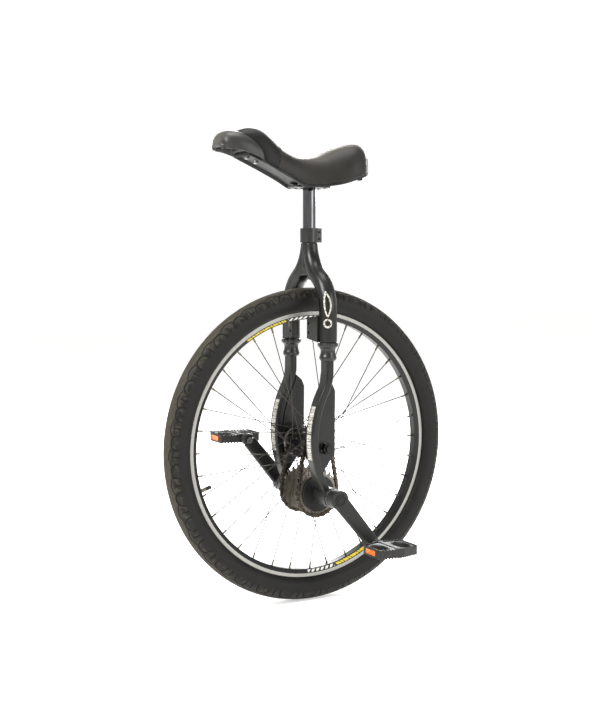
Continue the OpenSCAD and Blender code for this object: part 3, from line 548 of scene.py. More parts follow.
def stitch_thread():
    """Bonded polyester thread: twisted, slightly shiny."""
    return finish("polyester thread", "#191918", "#2a2927", 1.5, (0.5, 0.6), 0.3, 0.03)


def seal_rubber():
    """Moulded nitrile seal: plain matt black."""
    return finish("nitrile rubber", "#0f0f0f", "#181817", 8, (0.6, 0.72), 0.5, 0.02)


def cage_steel():
    """Black-painted pedal cage: paint rubbed to dull grey in spots along the tops of its teeth."""
    cage = finish("worn black cage", "#0f0f0f", "#191817", 8, (0.34, 0.5), 0.6, 0.03, 0.1,
                  Specular_IOR_Level=0.35)
    top = add(cage, "ShaderNodeAttribute", attribute_name="top").outputs["Fac"]
    rubbed = add(cage, "ShaderNodeMath", {0: top, 1: speckled(cage, 4, 0.56, 0.74)}, operation="MULTIPLY")
    laid_over(cage, rubbed.outputs[0], "#3c3a35", 0.34)
    return cage


def pedal_resin():
    """Glass-filled pedal resin: black, dry, with scuffed high spots."""
    resin = finish("glass-filled resin", "#0d0d0d", "#171615", 10, (0.4, 0.56), 0.5, 0.03,
                   Specular_IOR_Level=0.3)
    top = add(resin, "ShaderNodeAttribute", attribute_name="top").outputs["Fac"]
    rubbed = add(resin, "ShaderNodeMath", {0: top, 1: speckled(resin, 6, 0.64, 0.84)}, operation="MULTIPLY")
    laid_over(resin, rubbed.outputs[0], "#35332f", 0.42)
    return resin


def reflector_lens():
    """Amber acrylic reflector: glossy outside, with the cube corners behind it drawn 2.5 mm apart."""
    lens = finish("amber acrylic reflector", "#c8601c", "#e8862e", 6, (0.12, 0.2), 1.5, 0.02, IOR=1.49)
    cubes = add(lens, "ShaderNodeTexVoronoi",
                {"Vector": add(lens, "ShaderNodeTexCoord").outputs["Object"], "Scale": 1 / (2.5 * MM),
                 "Randomness": 0.0})
    laid_over(lens, add(lens, "ShaderNodeMapRange", {"Value": cubes.outputs["Distance"], "From Min": 0.35,
                                                     "From Max": 0.6}).outputs[0], "#8e3410", 0.3)
    return lens


def cotton_tape():
    """Woven rim tape: tan cotton, threads about a millimetre apart."""
    return finish("woven cotton tape", "#9a8258", "#b89f70", 3, (0.7, 0.85), 1.0, 0.1)


# ---------- wheel ----------

TYRE_C = TYRE_R - TYRE_W / 2
TREAD_PITCH = 2 * math.pi * TYRE_R / TREAD_REPEATS


def tread_place(points):
    """How far round the tyre and how far across its section each point lies, in millimetres."""
    x, y, z = (points - AXLE).T
    return np.arctan2(z, x) * TYRE_R, np.arctan2(y, np.hypot(x, z) - TYRE_C) * TYRE_W / 2


def groove(points):
    """Distance in millimetres from the middle of the nearest tread groove, at most NO_GROOVE. Each repeat
    has a hoof-shaped groove open to the sidewall (a power curve), a wave that joins one hoof to the
    next, and a short cross groove. The right side is half a repeat on."""
    around, across = tread_place(points)
    u = ((around / TREAD_PITCH + 0.5 * (across < 0)) % 1 - 0.5) * TREAD_PITCH
    s = np.abs(across)
    deep, half = np.clip(TREAD_EDGE - s, 0, None) / HOOF_DEEP, np.abs(u) / HOOF_HALF
    hoof = (deep**HOOF_POWER + half**HOOF_POWER) ** (1 / HOOF_POWER)
    wave = np.abs(s - 18 - 4 * np.cos(2 * np.pi * u / TREAD_PITCH))
    away = np.min([np.where(s < TREAD_EDGE, np.abs(hoof - 1) * 15, NO_GROOVE),
                   np.where(np.abs(u) > 12, wave, NO_GROOVE),
                   np.where((s > 22) & (s < TREAD_EDGE), TREAD_PITCH / 2 - np.abs(u), NO_GROOVE)], axis=0)
    return np.minimum(away, NO_GROOVE)


def tyre_grid(phi, turn):
    """The tyre's outer face: a circle of the casing's radius turned round the axle, with a tread cap
    CAP_T thick over the crown and the grooves sunk GROOVE_DEEP into it along a bell curve."""
    phi, turn = np.meshgrid(phi, turn)
    flat = np.stack([(TYRE_C + TYRE_W / 2 * np.cos(phi)) * np.cos(turn), TYRE_W / 2 * np.sin(phi),
                     (TYRE_C + TYRE_W / 2 * np.cos(phi)) * np.sin(turn)], -1) + AXLE
    sunk = GROOVE_DEEP * np.exp(-((groove(flat.reshape(-1, 3)).reshape(phi.shape) / 1.2) ** 2))
    cap = CAP_T / (1 + np.exp((37.5 - np.abs(phi) * TYRE_W / 2) / 0.5))
    ribs = 0.35 * np.exp(-(((np.abs(phi) * TYRE_W / 2 - 58) / 0.8) ** 2))
    r = TYRE_W / 2 - np.maximum(sunk, cap) - 0.4 + np.maximum(ribs, 0.4 * (cap < 0.35))
    return np.stack([(TYRE_C + r * np.cos(phi)) * np.cos(turn), r * np.sin(phi),
                     (TYRE_C + r * np.cos(phi)) * np.sin(turn)], -1) + AXLE


def tyre():
    """The outer face, then down each bead and round the cavity for the inner tube."""
    turn = np.linspace(0, 2 * np.pi, TREAD_REPEATS * TREAD_SLICES, endpoint=False)
    tread = np.radians(np.linspace(-78, 78, 52))
    side = np.radians(np.linspace(82, 137, 8))
    outer = tyre_grid(np.concatenate([-side[::-1], tread, side]), turn)
    inner_c, inner_r = TYRE_C + 2.2, TYRE_W / 2 - 5.7
    phi = np.radians(np.linspace(158, -158, 12))
    bead = [(RIM_R + 0.5, SEAT_HALF - 0.2), (RIM_R - 5.8, SEAT_HALF - 0.4), (RIM_R - 5.9, 8)]
    rest = bead + [(inner_c + inner_r * math.cos(a), inner_r * math.sin(a)) for a in phi]
    rest += [(r, -y) for r, y in bead[::-1]]
    rest = np.array(rest)
    back = np.stack([rest[None, :, 0] * np.cos(turn)[:, None], np.repeat(rest[None, :, 1], len(turn), 0),
                     rest[None, :, 0] * np.sin(turn)[:, None]], -1) + AXLE
    masks = {
        "groove": lambda p: np.where(np.abs(tread_place(p)[1]) < TREAD_EDGE + 1, groove(p), NO_GROOVE),
        "crown": lambda p: 0.8 * np.clip((21 - np.abs(tread_place(p)[1])) / 7, 0, 1),
        "tread": lambda p: 0.6 * np.clip((TREAD_EDGE - np.abs(tread_place(p)[1])) / 8, 0, 1),
    }
    made("tyre_with_tread", [skin(np.concatenate([outer, back], 1), along=True)], tyre_rubber(), "wheel",
         ["tyre"], 60, masks)


def dense(outline, step):
    """A closed outline with points added so that none are more than step apart."""
    out = []
    for a, b in zip(outline, np.roll(outline, -1, 0)):
        n = max(1, math.ceil(np.linalg.norm(b - a) / step))
        out += [a + (b - a) * k / n for k in range(n)]
    return np.array(out)


def rim_mark(points, first, last, pattern):
    """1 on the rim's sloping walls between two angles from the front, repeated half a turn on, where
    the pattern of (millimetres along, millimetres out from the inner edge) is true."""
    x, y, z = (points - AXLE).T
    r = np.hypot(x, z)
    along = (np.degrees(np.arctan2(z, x)) % 180 - first) * math.pi / 180 * RIM_R
    inside = (along > 0) & (along < (last - first) * math.pi / 180 * RIM_R)
    wall = (r > RIM_IN_R + 1.2) & (r < RIM_R - 9.2) & (np.abs(y) > SEAT_HALF - 2.5)
    return (inside & wall & pattern(along, r - RIM_IN_R)).astype(float)


def rim():
    """The rim's section turned round the axle: sloping walls, brake bands with a wear line under them,
    two flanges, and the well between the bead seats."""
    half = [(RIM_IN_R, SEAT_HALF - 2.5), (RIM_R - 8.6, RIM_W / 2 - 0.7), (RIM_R - 7.7, RIM_W / 2 - 0.6),
            (RIM_R - 7.3, RIM_W / 2), (RIM_R, RIM_W / 2), (RIM_R, SEAT_HALF), (RIM_R - 6, SEAT_HALF),
            (RIM_R - 6, 7), (RIM_R - 9, 5.5)]
    corners = half + [(r, -y) for r, y in half[::-1]]
    outline = dense(rounded(corners, 0.35, 3), 1.7)
    masks = {
        "band": lambda p: (np.abs(p[:, 1]) > RIM_W / 2 - 0.3).astype(float),
        "yellow": lambda p: rim_mark(
            p, 56, 77, lambda a, r: ((a + 1.2 * r) % 7 < 4.6) & (r > 1.6) & (r < 7)),
        "white": lambda p: rim_mark(
            p, 78, 92, lambda a, r: ((a - r) % 12 < 6.5) & (r > 1.6) & (r < 6.8)),
    }
    made("rim_with_brake_bands", [turned(outline, AXLE, 1200)], rim_alloy(), "wheel",
         ["rim"], 30, masks)


# ---------- frame ----------

BEND_A = math.radians(56)
LEG_TOP_Y = 6
LEG_TOP_R = 15
BEND_R = (LEG_Y - LEG_TOP_Y) / 2 / (1 - math.cos(BEND_A))
BEND_TOP_Z = SEAT_TUBE_Z[1] - 35
BEND_LOW_Z = BEND_TOP_Z - 2 * BEND_R * math.sin(BEND_A)
CROWN_Z = BEND_TOP_Z - 62


def leg_path():
    """Two equal bends in turn take the leg from beside the seat tube out to its own distance: points
    (Y, Z) on two arcs, and the lean of the leg at each."""
    lean = np.linspace(0, BEND_A, 22)
    upper = np.stack([LEG_TOP_Y + BEND_R * (1 - np.cos(lean)), BEND_TOP_Z - BEND_R * np.sin(lean)], 1)
    lower = np.stack([LEG_Y - BEND_R * (1 - np.cos(lean)), BEND_LOW_Z + BEND_R * np.sin(lean)], 1)[::-1]
    z = np.linspace(BEND_LOW_Z - 4, LEG_BOTTOM_Z, 12)
    path = np.vstack([[[LEG_TOP_Y, LEG_TOP_Z]], upper, lower[1:], np.stack([z * 0 + LEG_Y, z], 1)])
    return path, np.concatenate([[0], lean, lean[::-1][1:], z * 0])


def emblem(points):
    """How far inside a plain mark each point lies, in millimetres: a ring on the outer front of each
    leg, and a slim open leaf above it whose width follows a sine."""
    x, y, z = points.T
    lean = np.arcsin(np.clip((z - BEND_LOW_Z) / BEND_R, 0, math.sin(BEND_A)))
    around = (np.arctan2(np.abs(y) - LEG_Y + BEND_R * (1 - np.cos(lean)), x) - math.radians(58)) * LEG_R
    ring = 2.2 - np.abs(np.hypot(around, z - 599) - 7.6)
    up = (z - 610) / 56
    leaf = 8.5 * np.sin(np.pi * np.clip(up, 0, 1)) ** 0.8
    edge = np.minimum(1.7 + 0.6 * up - np.abs(np.abs(around) - leaf + 1.7), 28 - np.abs(z - 638))
    return np.clip(np.maximum(ring, edge), -3, 3)


def fork():
    """Both upper legs, the web between them and a core up the seat tube, run into one skin as the
    fillets of the welds run them together."""
    path, lean = leg_path()
    turn = np.linspace(0, 2 * np.pi, 48, endpoint=False)
    centre = np.stack([path[:, 0] * 0, path[:, 0], path[:, 1]], 1)
    out = np.stack([lean * 0, np.cos(lean), np.sin(lean)], 1)
    thick = LEG_R - (LEG_R - LEG_TOP_R) * np.clip((path[:, 1] - CROWN_Z) / (BEND_TOP_Z - CROWN_Z), 0, 1)
    leg = swept(centre, out * thick[:, None], thick[:, None] * [1, 0, 0],
                np.stack([np.cos(turn), np.sin(turn)], 1))
    arch = np.linspace(-36, 36, 25)
    web = [(y, CROWN_Z - 60 + math.sqrt(60**2 - y**2)) for y in arch]
    web += [(14, CROWN_Z + 46), (-14, CROWN_Z + 46)]
    plate = slab(web, -14, 14, 2, lambda a, b, h: (h + 0 * a, a, b))
    core = turned([(0, SEAT_TUBE_Z[0] + 1), (SEAT_TUBE_R - 0.2, SEAT_TUBE_Z[0] + 1),
                   (SEAT_TUBE_R - 0.2, LEG_TOP_Z - 1), (0, LEG_TOP_Z - 1)], np.zeros(3), axis=2)
    obj = raw("fork_legs", [leg, *mirrored([leg]), plate, core], marked_powder_coat())
    remeshed(obj, 1.7)
    smooth = obj.modifiers.new("weld fillets", "SMOOTH")
    smooth.factor = 0.5
    smooth.iterations = 7
    settle(obj)
    show(obj, "frame", ["left_leg_tube", "right_leg_tube", "crown_web"], 180,
         {"mark": emblem})


def remeshed(obj, size):
    """Has an object's shells run into one skin, of even faces size millimetres wide."""
    remesh = obj.modifiers.new("one skin", "REMESH")
    remesh.mode = "VOXEL"
    remesh.voxel_size = size * MM


def settle(obj):
    """Puts what the modifiers make into the mesh, and removes them."""
    mesh = bpy.data.meshes.new_from_object(obj.evaluated_get(bpy.context.evaluated_depsgraph_get()))
    obj.modifiers.clear()
    obj.data = mesh


def bow_path():
    """Straight below the collar, then a bend forward, the long bow, and the end that runs back to the
    crank axis: points (X, Z) on arcs, and the lean of the leg at each."""
    bend_r = BOW_OUT / (1 - math.cos(BOW_A)) - BOW_R
    top_z = BOW_Z + (BOW_R + bend_r) * math.sin(BOW_A)
    z = np.linspace(COLLAR_Z + 4, top_z, 8)[:-1]
    straight = np.stack([z * 0 + LOWER_X, z], 1)
    a = np.linspace(0, BOW_A, 16)
    bend = np.stack([LOWER_X + bend_r * (1 - np.cos(a)), top_z - bend_r * np.sin(a)], 1)
    b = np.linspace(BOW_A, -BOW_A, 120)[1:]
    bow = np.stack([LOWER_X + BOW_OUT - BOW_R * (1 - np.cos(b)), BOW_Z + BOW_R * np.sin(b)], 1)
    run = np.linspace(2, 12, 3)[:, None]
    end = bow[-1] - run * [math.sin(BOW_A), math.cos(BOW_A)]
    return np.vstack([straight, bend, bow, end]), np.concatenate([z * 0, a, b, run[:, 0] * 0 - BOW_A])


def bow_mark(points):
    """A plain mark down the front of each bow: wide and narrow bars in turn, every 15 mm."""
    x, y, z = points.T
    front = np.hypot(x - LOWER_X - BOW_OUT + BOW_R, z - BOW_Z) > BOW_R + LOWER_D / 2 - 0.4
    step = (z - 316) % 15
    bars = (step < 8) | ((step > 10) & (step < 13))
    return (front & bars & (np.abs(np.abs(y) - LEG_Y) < 7.5) & (z > 316) & (z < 427)).astype(float)


def lower_legs():
    """A rectangle with well-rounded corners carried down the bow."""
    path, lean = bow_path()
    corner = [(-LOWER_W / 2, -LOWER_D / 2), (LOWER_W / 2, -LOWER_D / 2), (LOWER_W / 2, LOWER_D / 2),
              (-LOWER_W / 2, LOWER_D / 2)]
    centre = np.stack([path[:, 0], path[:, 0] * 0 + LEG_Y, path[:, 1]], 1)
    front = np.stack([np.cos(lean), lean * 0, np.sin(lean)], 1)
    leg = swept(centre, front * 0 + [0, 1, 0], front, dense(rounded(corner, 5, 6), 1.5))
    coat = marked_powder_coat()
    made("left_bowed_leg", [leg], coat, "frame", ["left_lower_leg"], 50, {"mark": bow_mark})
    made("right_bowed_leg", mirrored([leg]), coat, "frame", ["right_lower_leg"], 50,
         {"mark": bow_mark})


def collars():
    """Turned collar: a flange under the upper leg, a narrow neck, and a bulb over the lower leg."""
    profile = [(0, 0), (15.6, 0), (17.8, 3), (18.2, 8), (16, 13.5), (14.8, 20), (16.4, 26), (21, 30),
               (21.5, 33), (21.5, 37.6), (17, 37.6), (0, 37.6)]
    edges = [0, 2, 3, 4, 4, 6, 4, 3, 2, 1.5, 0.5, 0]
    shape = turned(rounded(profile, edges), np.array([0, LEG_Y, COLLAR_Z]), 72, axis=2)
    alloy = cast_alloy()
    made("left_turned_collar", [shape], alloy, "frame", ["left_leg_collar"])
    made("right_turned_collar", mirrored([shape]), alloy, "frame", ["right_leg_collar"])


# ---------- cranks ----------


def crank_arms():
    """Each arm: a turned boss with a counterbored face, and a bar of power-curve section that narrows
    towards the pedal and ends in a half circle. The section is side times cos^(1/2), up times
    sin^(1/2)."""
    reach = PEDAL - CRANK
    reach[1] = 0
    length = np.linalg.norm(reach)
    along = reach / length
    end = 14.5
    t = np.concatenate([np.linspace(0, length, 30), length + end * np.sin(np.linspace(0.1, 1.5, 12))])
    width = np.where(t < length, 17.5 - 3 * np.clip(t / length, 0, 1) ** 0.7, 0)
    width = np.where(t > length, np.sqrt(np.clip(end**2 - (t - length) ** 2, 0.2, None)), width)
    turn = np.linspace(0, 2 * np.pi, 40, endpoint=False)
    c, s = np.cos(turn), np.sin(turn)
    side = np.cross(along, [0, 1, 0])
    thick = 8 - 0.8 * np.clip(t / length, 0, 1)
    rows = (CRANK + np.outer(t, along))[:, None, :]
    rows = rows + (width[:, None] * np.sign(c) * np.abs(c) ** 0.5)[..., None] * side
    rows = rows + (BOSS_Y[1] - 8 + thick[:, None] * np.sign(s) * np.abs(s) ** 0.5)[..., None] * [0, 1, 0]
    face = BOSS_Y[1]
    boss = rounded([(0, face - 4), (12.2, face - 4), (12.2, face), (20, face), (20, BOSS_Y[0]),
                    (0, BOSS_Y[0])], [0, 0.3, 0.6, 2.2, 1, 0])
    cap = rounded([(0, face - 4), (12, face - 4), (12, face + 1.5), (9, face + 1.5), (8.7, face + 0.6),
                   (7.6, face + 0.6), (7.3, face + 1.5), (0, face + 1.5)],
                  [0, 0.2, 0.9, 0.3, 0.2, 0.2, 0.3, 0])
    ring = rounded([(18.4, BOSS_Y[0] - 0.85), (20.4, BOSS_Y[0] - 0.85), (20.4, BOSS_Y[0] - 0.15),
                    (18.4, BOSS_Y[0] - 0.15)], 0.2)
    forging, oxide, ground = forged_crank(), black_oxide(), ground_steel()
    left = {"forged_arm": [skin(rows), turned(boss, CRANK)], "end_cap": [turned(cap, CRANK)],
            "seal_ring": [turned(ring, CRANK)]}
    looks = {"forged_arm": (forging, "anodised_black", "crank_arm"),
             "end_cap": (oxide, "black_oxide", "crank_cap"), "seal_ring": (ground, "ground_steel", None)}
    for hand, turn_over in (("left", list), ("right", opposite)):
        for part, shells in left.items():
            material, slot, node = looks[part]
            made(f"{hand}_{part}", turn_over(shells), material, f"{hand}_crank",
                 [f"{hand}_{node}"] if node else [], 40)


# ---------- pedals ----------


def pedal_outline(inset):
    """Hexagon-like outline of a pedal from above, drawn in by inset, with rounded corners."""
    x, y, w = PEDAL_L / 2 - inset, PEDAL_W / 2 - inset, PEDAL_END_W / 2 - inset / 2
    half = [(x, -w), (x, w), (8, y), (-8, y)]
    return rounded(half + [(-px, -py) for px, py in half], 5, 7)


def pedal_cage_shell():
    """The cage wall: a thin upright section carried round the outline, whose top and bottom edges
    rise into teeth. Their height follows a clipped sine of the distance round the outline."""
    outer = dense(pedal_outline(0), 1)
    count = len(outer)
    tangent = np.roll(outer, -1, 0) - np.roll(outer, 1, 0)
    normal = np.stack([tangent[:, 1], -tangent[:, 0]], 1) / np.linalg.norm(tangent, axis=1)[:, None]
    inner = outer - 3 * normal
    teeth = round(count / 7)
    rise = np.clip(0.5 + 1.4 * np.sin(np.arange(count) / count * teeth * 2 * np.pi), 0, 1)
    height = PEDAL_T / 2 - 2 + 2 * rise
    near_out, near_in = 0.7 * outer + 0.3 * inner, 0.3 * outer + 0.7 * inner
    cols = [(outer, -1, 0.4), (outer, 1, 0.4), (near_out, 1, 0), (near_in, 1, 0),
            (inner, 1, 0.4), (inner, -1, 0.4), (near_in, -1, 0), (near_out, -1, 0)]
    grid = np.stack([np.column_stack([at, sign * (height - drop)]) for at, sign, drop in cols], 1)
    return skin(grid + PEDAL, along=True)


def pedal_wing(sign):
    """One half of the platform: a plate between the cage and an oval window, thick outside and
    dished down to the window's edge. Each spoke of the grid runs from the outline, found by where a
    ray from the window's centre crosses it, in to the oval."""
    centre = np.array([sign * 27.0, 0])
    outer = np.array([(sign * 5, -36.5), (sign * 45, -27), (sign * 45, 27), (sign * 5, 36.5)])
    turn = np.linspace(0, 2 * np.pi, 72, endpoint=False)
    ray = np.stack([np.cos(turn), np.sin(turn)], 1)
    far = np.full(len(turn), 1e3)
    for a, b in zip(outer - centre, np.roll(outer, -1, 0) - centre):
        edge = b - a
        cross = ray[:, 0] * edge[1] - ray[:, 1] * edge[0]
        hit = (a[0] * edge[1] - a[1] * edge[0]) / np.where(np.abs(cross) < 1e-9, 1e-9, cross)
        share = (a[0] * ray[:, 1] - a[1] * ray[:, 0]) / np.where(np.abs(cross) < 1e-9, 1e-9, cross)
        far = np.where((hit > 0) & (share > -1e-6) & (share < 1 + 1e-6), np.minimum(far, hit), far)
    near = 1 / np.sqrt((ray[:, 0] / 13.5) ** 2 + (ray[:, 1] / 23) ** 2)
    cols = [(0, -7), (0, 7), (0.15, 7.6), (0.6, 7.2), (0.93, 5.4), (1, 4.4), (1, -4.4), (0.93, -5.4),
            (0.6, -7.2), (0.15, -7.6)]
    grid = [np.column_stack([centre + ray * (far + (near - far) * share)[:, None], np.full(len(turn), z)])
            for share, z in cols]
    return skin(np.stack(grid, 1) + PEDAL, along=True)


def pedals():
    """Toothed cage, platform with two windows and the bearing barrel, and a reflector at each end."""
    half = PEDAL_W / 2
    profile = [(0, -half), (9.4, -half), (10.6, -half + 4), (9.4, -half + 12), (9.4, half - 12),
               (10.6, half - 4), (9.4, half - 0.4), (7.4, half - 0.4), (7, half - 1.4), (0, half - 1.4)]
    barrel = turned(rounded(profile, [0, 1.5, 3, 3, 3, 3, 1, 0.3, 0.3, 0]), PEDAL, 64)
    lens = rounded([(-17, -5.2), (17, -5.2), (17, 5.2), (-17, 5.2)], 2)
    lenses = [slab(lens, sign * (PEDAL_L / 2 - 2), sign * (PEDAL_L / 2 + 1.2), 0.8,
                   lambda a, b, h: (PEDAL[0] + h + 0 * a, PEDAL[1] + a, PEDAL[2] + b)) for sign in (1, -1)]
    cage, resin, amber = cage_steel(), pedal_resin(), reflector_lens()

    def beyond(start, run):
        """A mask that rises from 0 to 1 over run, from start above and below the pedal's middle."""
        def mask(points):
            level = np.where(points[:, 1] > 0, PEDAL[2], 2 * CRANK[2] - PEDAL[2])
            return np.clip((np.abs(points[:, 2] - level) - start) / run, 0, 1)
        return mask

    for hand, turn_over in (("left", list), ("right", opposite)):
        body = f"{hand}_pedal"
        made(f"{hand}_toothed_cage", turn_over([pedal_cage_shell()]), cage, body,
             [f"{hand}_pedal_cage"], 40, {"top": beyond(PEDAL_T / 2 - 3, 1.6)})
        made(f"{hand}_pedal_platform", turn_over([pedal_wing(1), pedal_wing(-1), barrel]), resin, body,
             [f"{hand}_pedal_body"], 40, {"top": beyond(6.6, 0.8)})
        made(f"{hand}_pedal_reflectors", turn_over(lenses), amber, body)


# ---------- seat ----------

# Each line gives the top point (X, height over the post plate), the bottom point, the half width, and
# how far the section bows back between them
PAD_LINES = [
    (-112, 87, -115, 30, 48, 0), (-107, 93, -107, 26, 60, 0), (-96, 94.5, -95, 20.2, 69, 0),
    (-76, 90, -75, 14.2, 73, 0), (-48, 79.5, -48, 5.7, 68, 0), (-18, 65.5, -18, 0.8, 57, 0),
    (10, 59.6, 9, -1.4, 50, 0), (36, 60.2, 34, 1, 45, 0), (58, 67.5, 58, 12.5, 43, 0),
    (80, 80, 80, 23, 43, 0), (101, 97, 97, 31.4, 43.5, 1), (120, 110, 109, 36.8, 44, 4),
    (136, 115, 117, 40.2, 44, 7), (150, 115.2, 122, 42.4, 43.5, 10), (163, 111.5, 125, 43.6, 43, 12),
    (175, 106, 128, 45, 42, 14)]
NOSE_LINES = [
    (183, 104.8, 131, 46.2, 44, 14), (192, 104.4, 149, 54, 45.5, 10), (201, 102.4, 167, 60, 45, 6),
    (208.5, 98, 185, 64, 42, 3), (213.5, 90.5, 200, 65, 36, 0), (215.5, 80, 209, 66.5, 27, 0)]
TRAY_LINES = [
    (-118, 33, -118, 23.6, 43, 0), (-106, 29, -106, 19.5, 56, 0), (-85, 22.4, -85, 13, 64.5, 0),
    (-50, 11.4, -50, 2, 60.5, 0), (-15, 5.6, -15, -3.9, 48, 0), (10, 4, 10, -5.5, 41.5, 0),
    (32, 5, 32, -4.6, 37.5, 0), (58, 17.9, 58, 8.5, 35.5, 0), (85, 30.8, 85, 21.4, 35.5, 0),
    (106, 40.8, 106, 31.4, 36.5, 0), (135, 53.3, 135, 43.9, 36.5, 0), (158, 63.2, 158, 53.8, 36, 0)]
SEAM_X, SEAM_LEAN = 107, -0.33


def hood(lines, power, rows, depth, ends):
    """A hood over a hollow, carried along its lines. Over the top, each section is half width times
    cos^(2/power) and height times sin^(2/power), bowed back by a parabola. Underneath it rises by
    depth(X, distance from the middle, half width) inside a narrow lip. The end rows are drawn in along
    a quarter circle of radius ends."""
    line = spline(lines, rows)
    top = np.column_stack([line[:, 0], line[:, 0] * 0, line[:, 1] + BASE_Z])
    foot = np.column_stack([line[:, 2], line[:, 0] * 0, line[:, 3] + BASE_Z])
    wide = line[:, 4]
    a = np.linspace(0, np.pi, 61)
    c = np.sign(np.cos(a)) * np.abs(np.cos(a)) ** (2 / power)
    s = np.sin(a) ** (2 / power)
    over = foot[:, None] + (top - foot)[:, None] * s[None, :, None]
    over[..., 0] -= 4 * line[:, 5:] * s * (1 - s)
    over[..., 1] += wide[:, None] * c
    v = np.linspace(-1, 1, 33)[1:-1]
    under = np.repeat(foot[:, None], len(v), 1)
    under[..., 1] = wide[:, None] * v
    under[..., 2] += depth(foot[:, :1], np.abs(v)[None, :] * wide[:, None], wide[:, None])
    grid = np.concatenate([over, under], 1)
    turn = np.linspace(0, np.pi / 2, 6)[1:]
    for first in (True, False):
        row = grid[0] if first else grid[-1]
        other = grid[1] if first else grid[-2]
        middle_point = row.mean(0)
        outward = middle_point - other.mean(0)
        outward /= np.linalg.norm(outward)
        size = np.linalg.norm(row - middle_point, axis=1).mean()
        extra = [middle_point + (row - middle_point) * (1 - ends * (1 - math.cos(t)) / size)
                 + outward * ends * math.sin(t) for t in turn]
        grid = np.concatenate([extra[::-1], grid]) if first else np.concatenate([grid, extra])
    return skin(grid)


def height_over(lines, points, place=0):
    """Height of the lines' top points over each point's X, or of their bottom points where place is 2."""
    at, up = [line[place] for line in lines], [line[place + 1] for line in lines]
    return np.interp(points[:, 0], at, up) + BASE_Z


def pad_seam(points):
    """Distance from the seam between the cover and the smooth panel over the hump: a plane across the
    saddle that leans back as it rises."""
    return points[:, 0] - SEAM_X - SEAM_LEAN * (points[:, 2] - BASE_Z)


def saddle_pad():
    """The pad starts a little small and is blown up like a cover over foam, with its foot held by the
    tray. The sewn seam is drawn in afterwards, and stitches lie on both sides of it."""
    small = [(tx, tz - 3, fx, fz, w - 2.5, bow) for tx, tz, fx, fz, w, bow in PAD_LINES]

    def over_tray(x, y, w):
        return 5.6 * np.clip((w - 5 - y) / 1.5, 0, 1) + 0 * x

    obj = raw("saddle_cover", [hood(small, 2.7, 120, over_tray, 7)], saddle_cover())
    remeshed(obj, 4.5)
    settle(obj)
    rest = positions(obj.data)
    inflate(obj, rest, 5.0)
    finer = obj.modifiers.new("finer", "SUBSURF")
    finer.levels = finer.render_levels = 1
    settle(obj)
    points = positions(obj.data)
    normals = np.zeros(len(points) * 3, np.float32)
    obj.data.vertices.foreach_get("normal", normals)
    drawn_in = 1.2 * np.exp(-((pad_seam(points) / 1.5) ** 2)) * (points[:, 2] > BASE_Z + 30)
    move_to(obj.data, points - normals.reshape(-1, 3) * drawn_in[:, None])

    # Painted sheen: the cover is made lighter grey-brown within 16 mm under its top line, behind the seam,
    # where the light falls.
    def crown(p):
        depth = height_over(PAD_LINES, p) - p[:, 2]
        return 0.75 * np.clip(1 - depth / 16, 0, 1) * (pad_seam(p) < 0)

    show(obj, "seat", ["saddle_pad"], 180, {
        "crown": crown, "hump": lambda p: (pad_seam(p) > 0).astype(float),
        "seam": lambda p: np.exp(-((pad_seam(p) / 1.1) ** 2)) * (p[:, 2] > BASE_Z + 30)})
    stitches(obj)


def inflate(obj, rest, cap):
    """Cloth with pressure inside and no gravity, its foot held, for 20 frames. No point ends up more
    than cap millimetres from where it was."""
    held = obj.vertex_groups.new(name="held")
    foot = height_over(PAD_LINES, rest, 2)
    held.add(np.flatnonzero(rest[:, 2] < foot + 6).tolist(), 1.0, "REPLACE")
    cloth = obj.modifiers.new("foam", "CLOTH")
    settings = cloth.settings
    settings.quality = 6
    settings.mass = 0.2
    settings.tension_stiffness = settings.compression_stiffness = 20
    settings.bending_stiffness = 3
    settings.use_pressure = True
    settings.uniform_pressure_force = 4
    settings.vertex_group_mass = "held"
    settings.effector_weights.gravity = 0
    for number in range(1, 21):
        bpy.context.scene.frame_set(number)
    settle(obj)
    obj.vertex_groups.clear()
    shift = positions(obj.data) - rest
    size = np.linalg.norm(shift, axis=1)[:, None]
    move_to(obj.data, rest + shift * np.minimum(1, cap / np.maximum(size, 1e-6)))
    bpy.context.scene.frame_set(1)


def stitches(cover):
    """Two rows of short stitches beside the seam. Each lies where a ray from inside the pad meets the
    cover, and follows the cover round."""
    bm = bmesh.new()
    bm.from_mesh(cover.data)
    tree = BVHTree.FromBMesh(bm)
    bm.free()
    shells = []
    for side in (-3.2, 3.2):
        centre = np.array([SEAM_X + side + SEAM_LEAN * 42, 0, BASE_Z + 42])
        hits = []
        for a in np.radians(np.linspace(-12, 192, 110)):
            way = np.array([SEAM_LEAN * math.sin(a), math.cos(a), math.sin(a)])
            hit = tree.ray_cast((centre * MM).tolist(), way.tolist())[0]
            hits.append(np.array(hit) / MM + 0.1 * way)
        for k in range(0, len(hits) - 1, 2):
            shells.append(bar(hits[k], hits[k + 1], 0.45, 5))
    made("seam_stitches", shells, stitch_thread(), "seat", sharp=180)


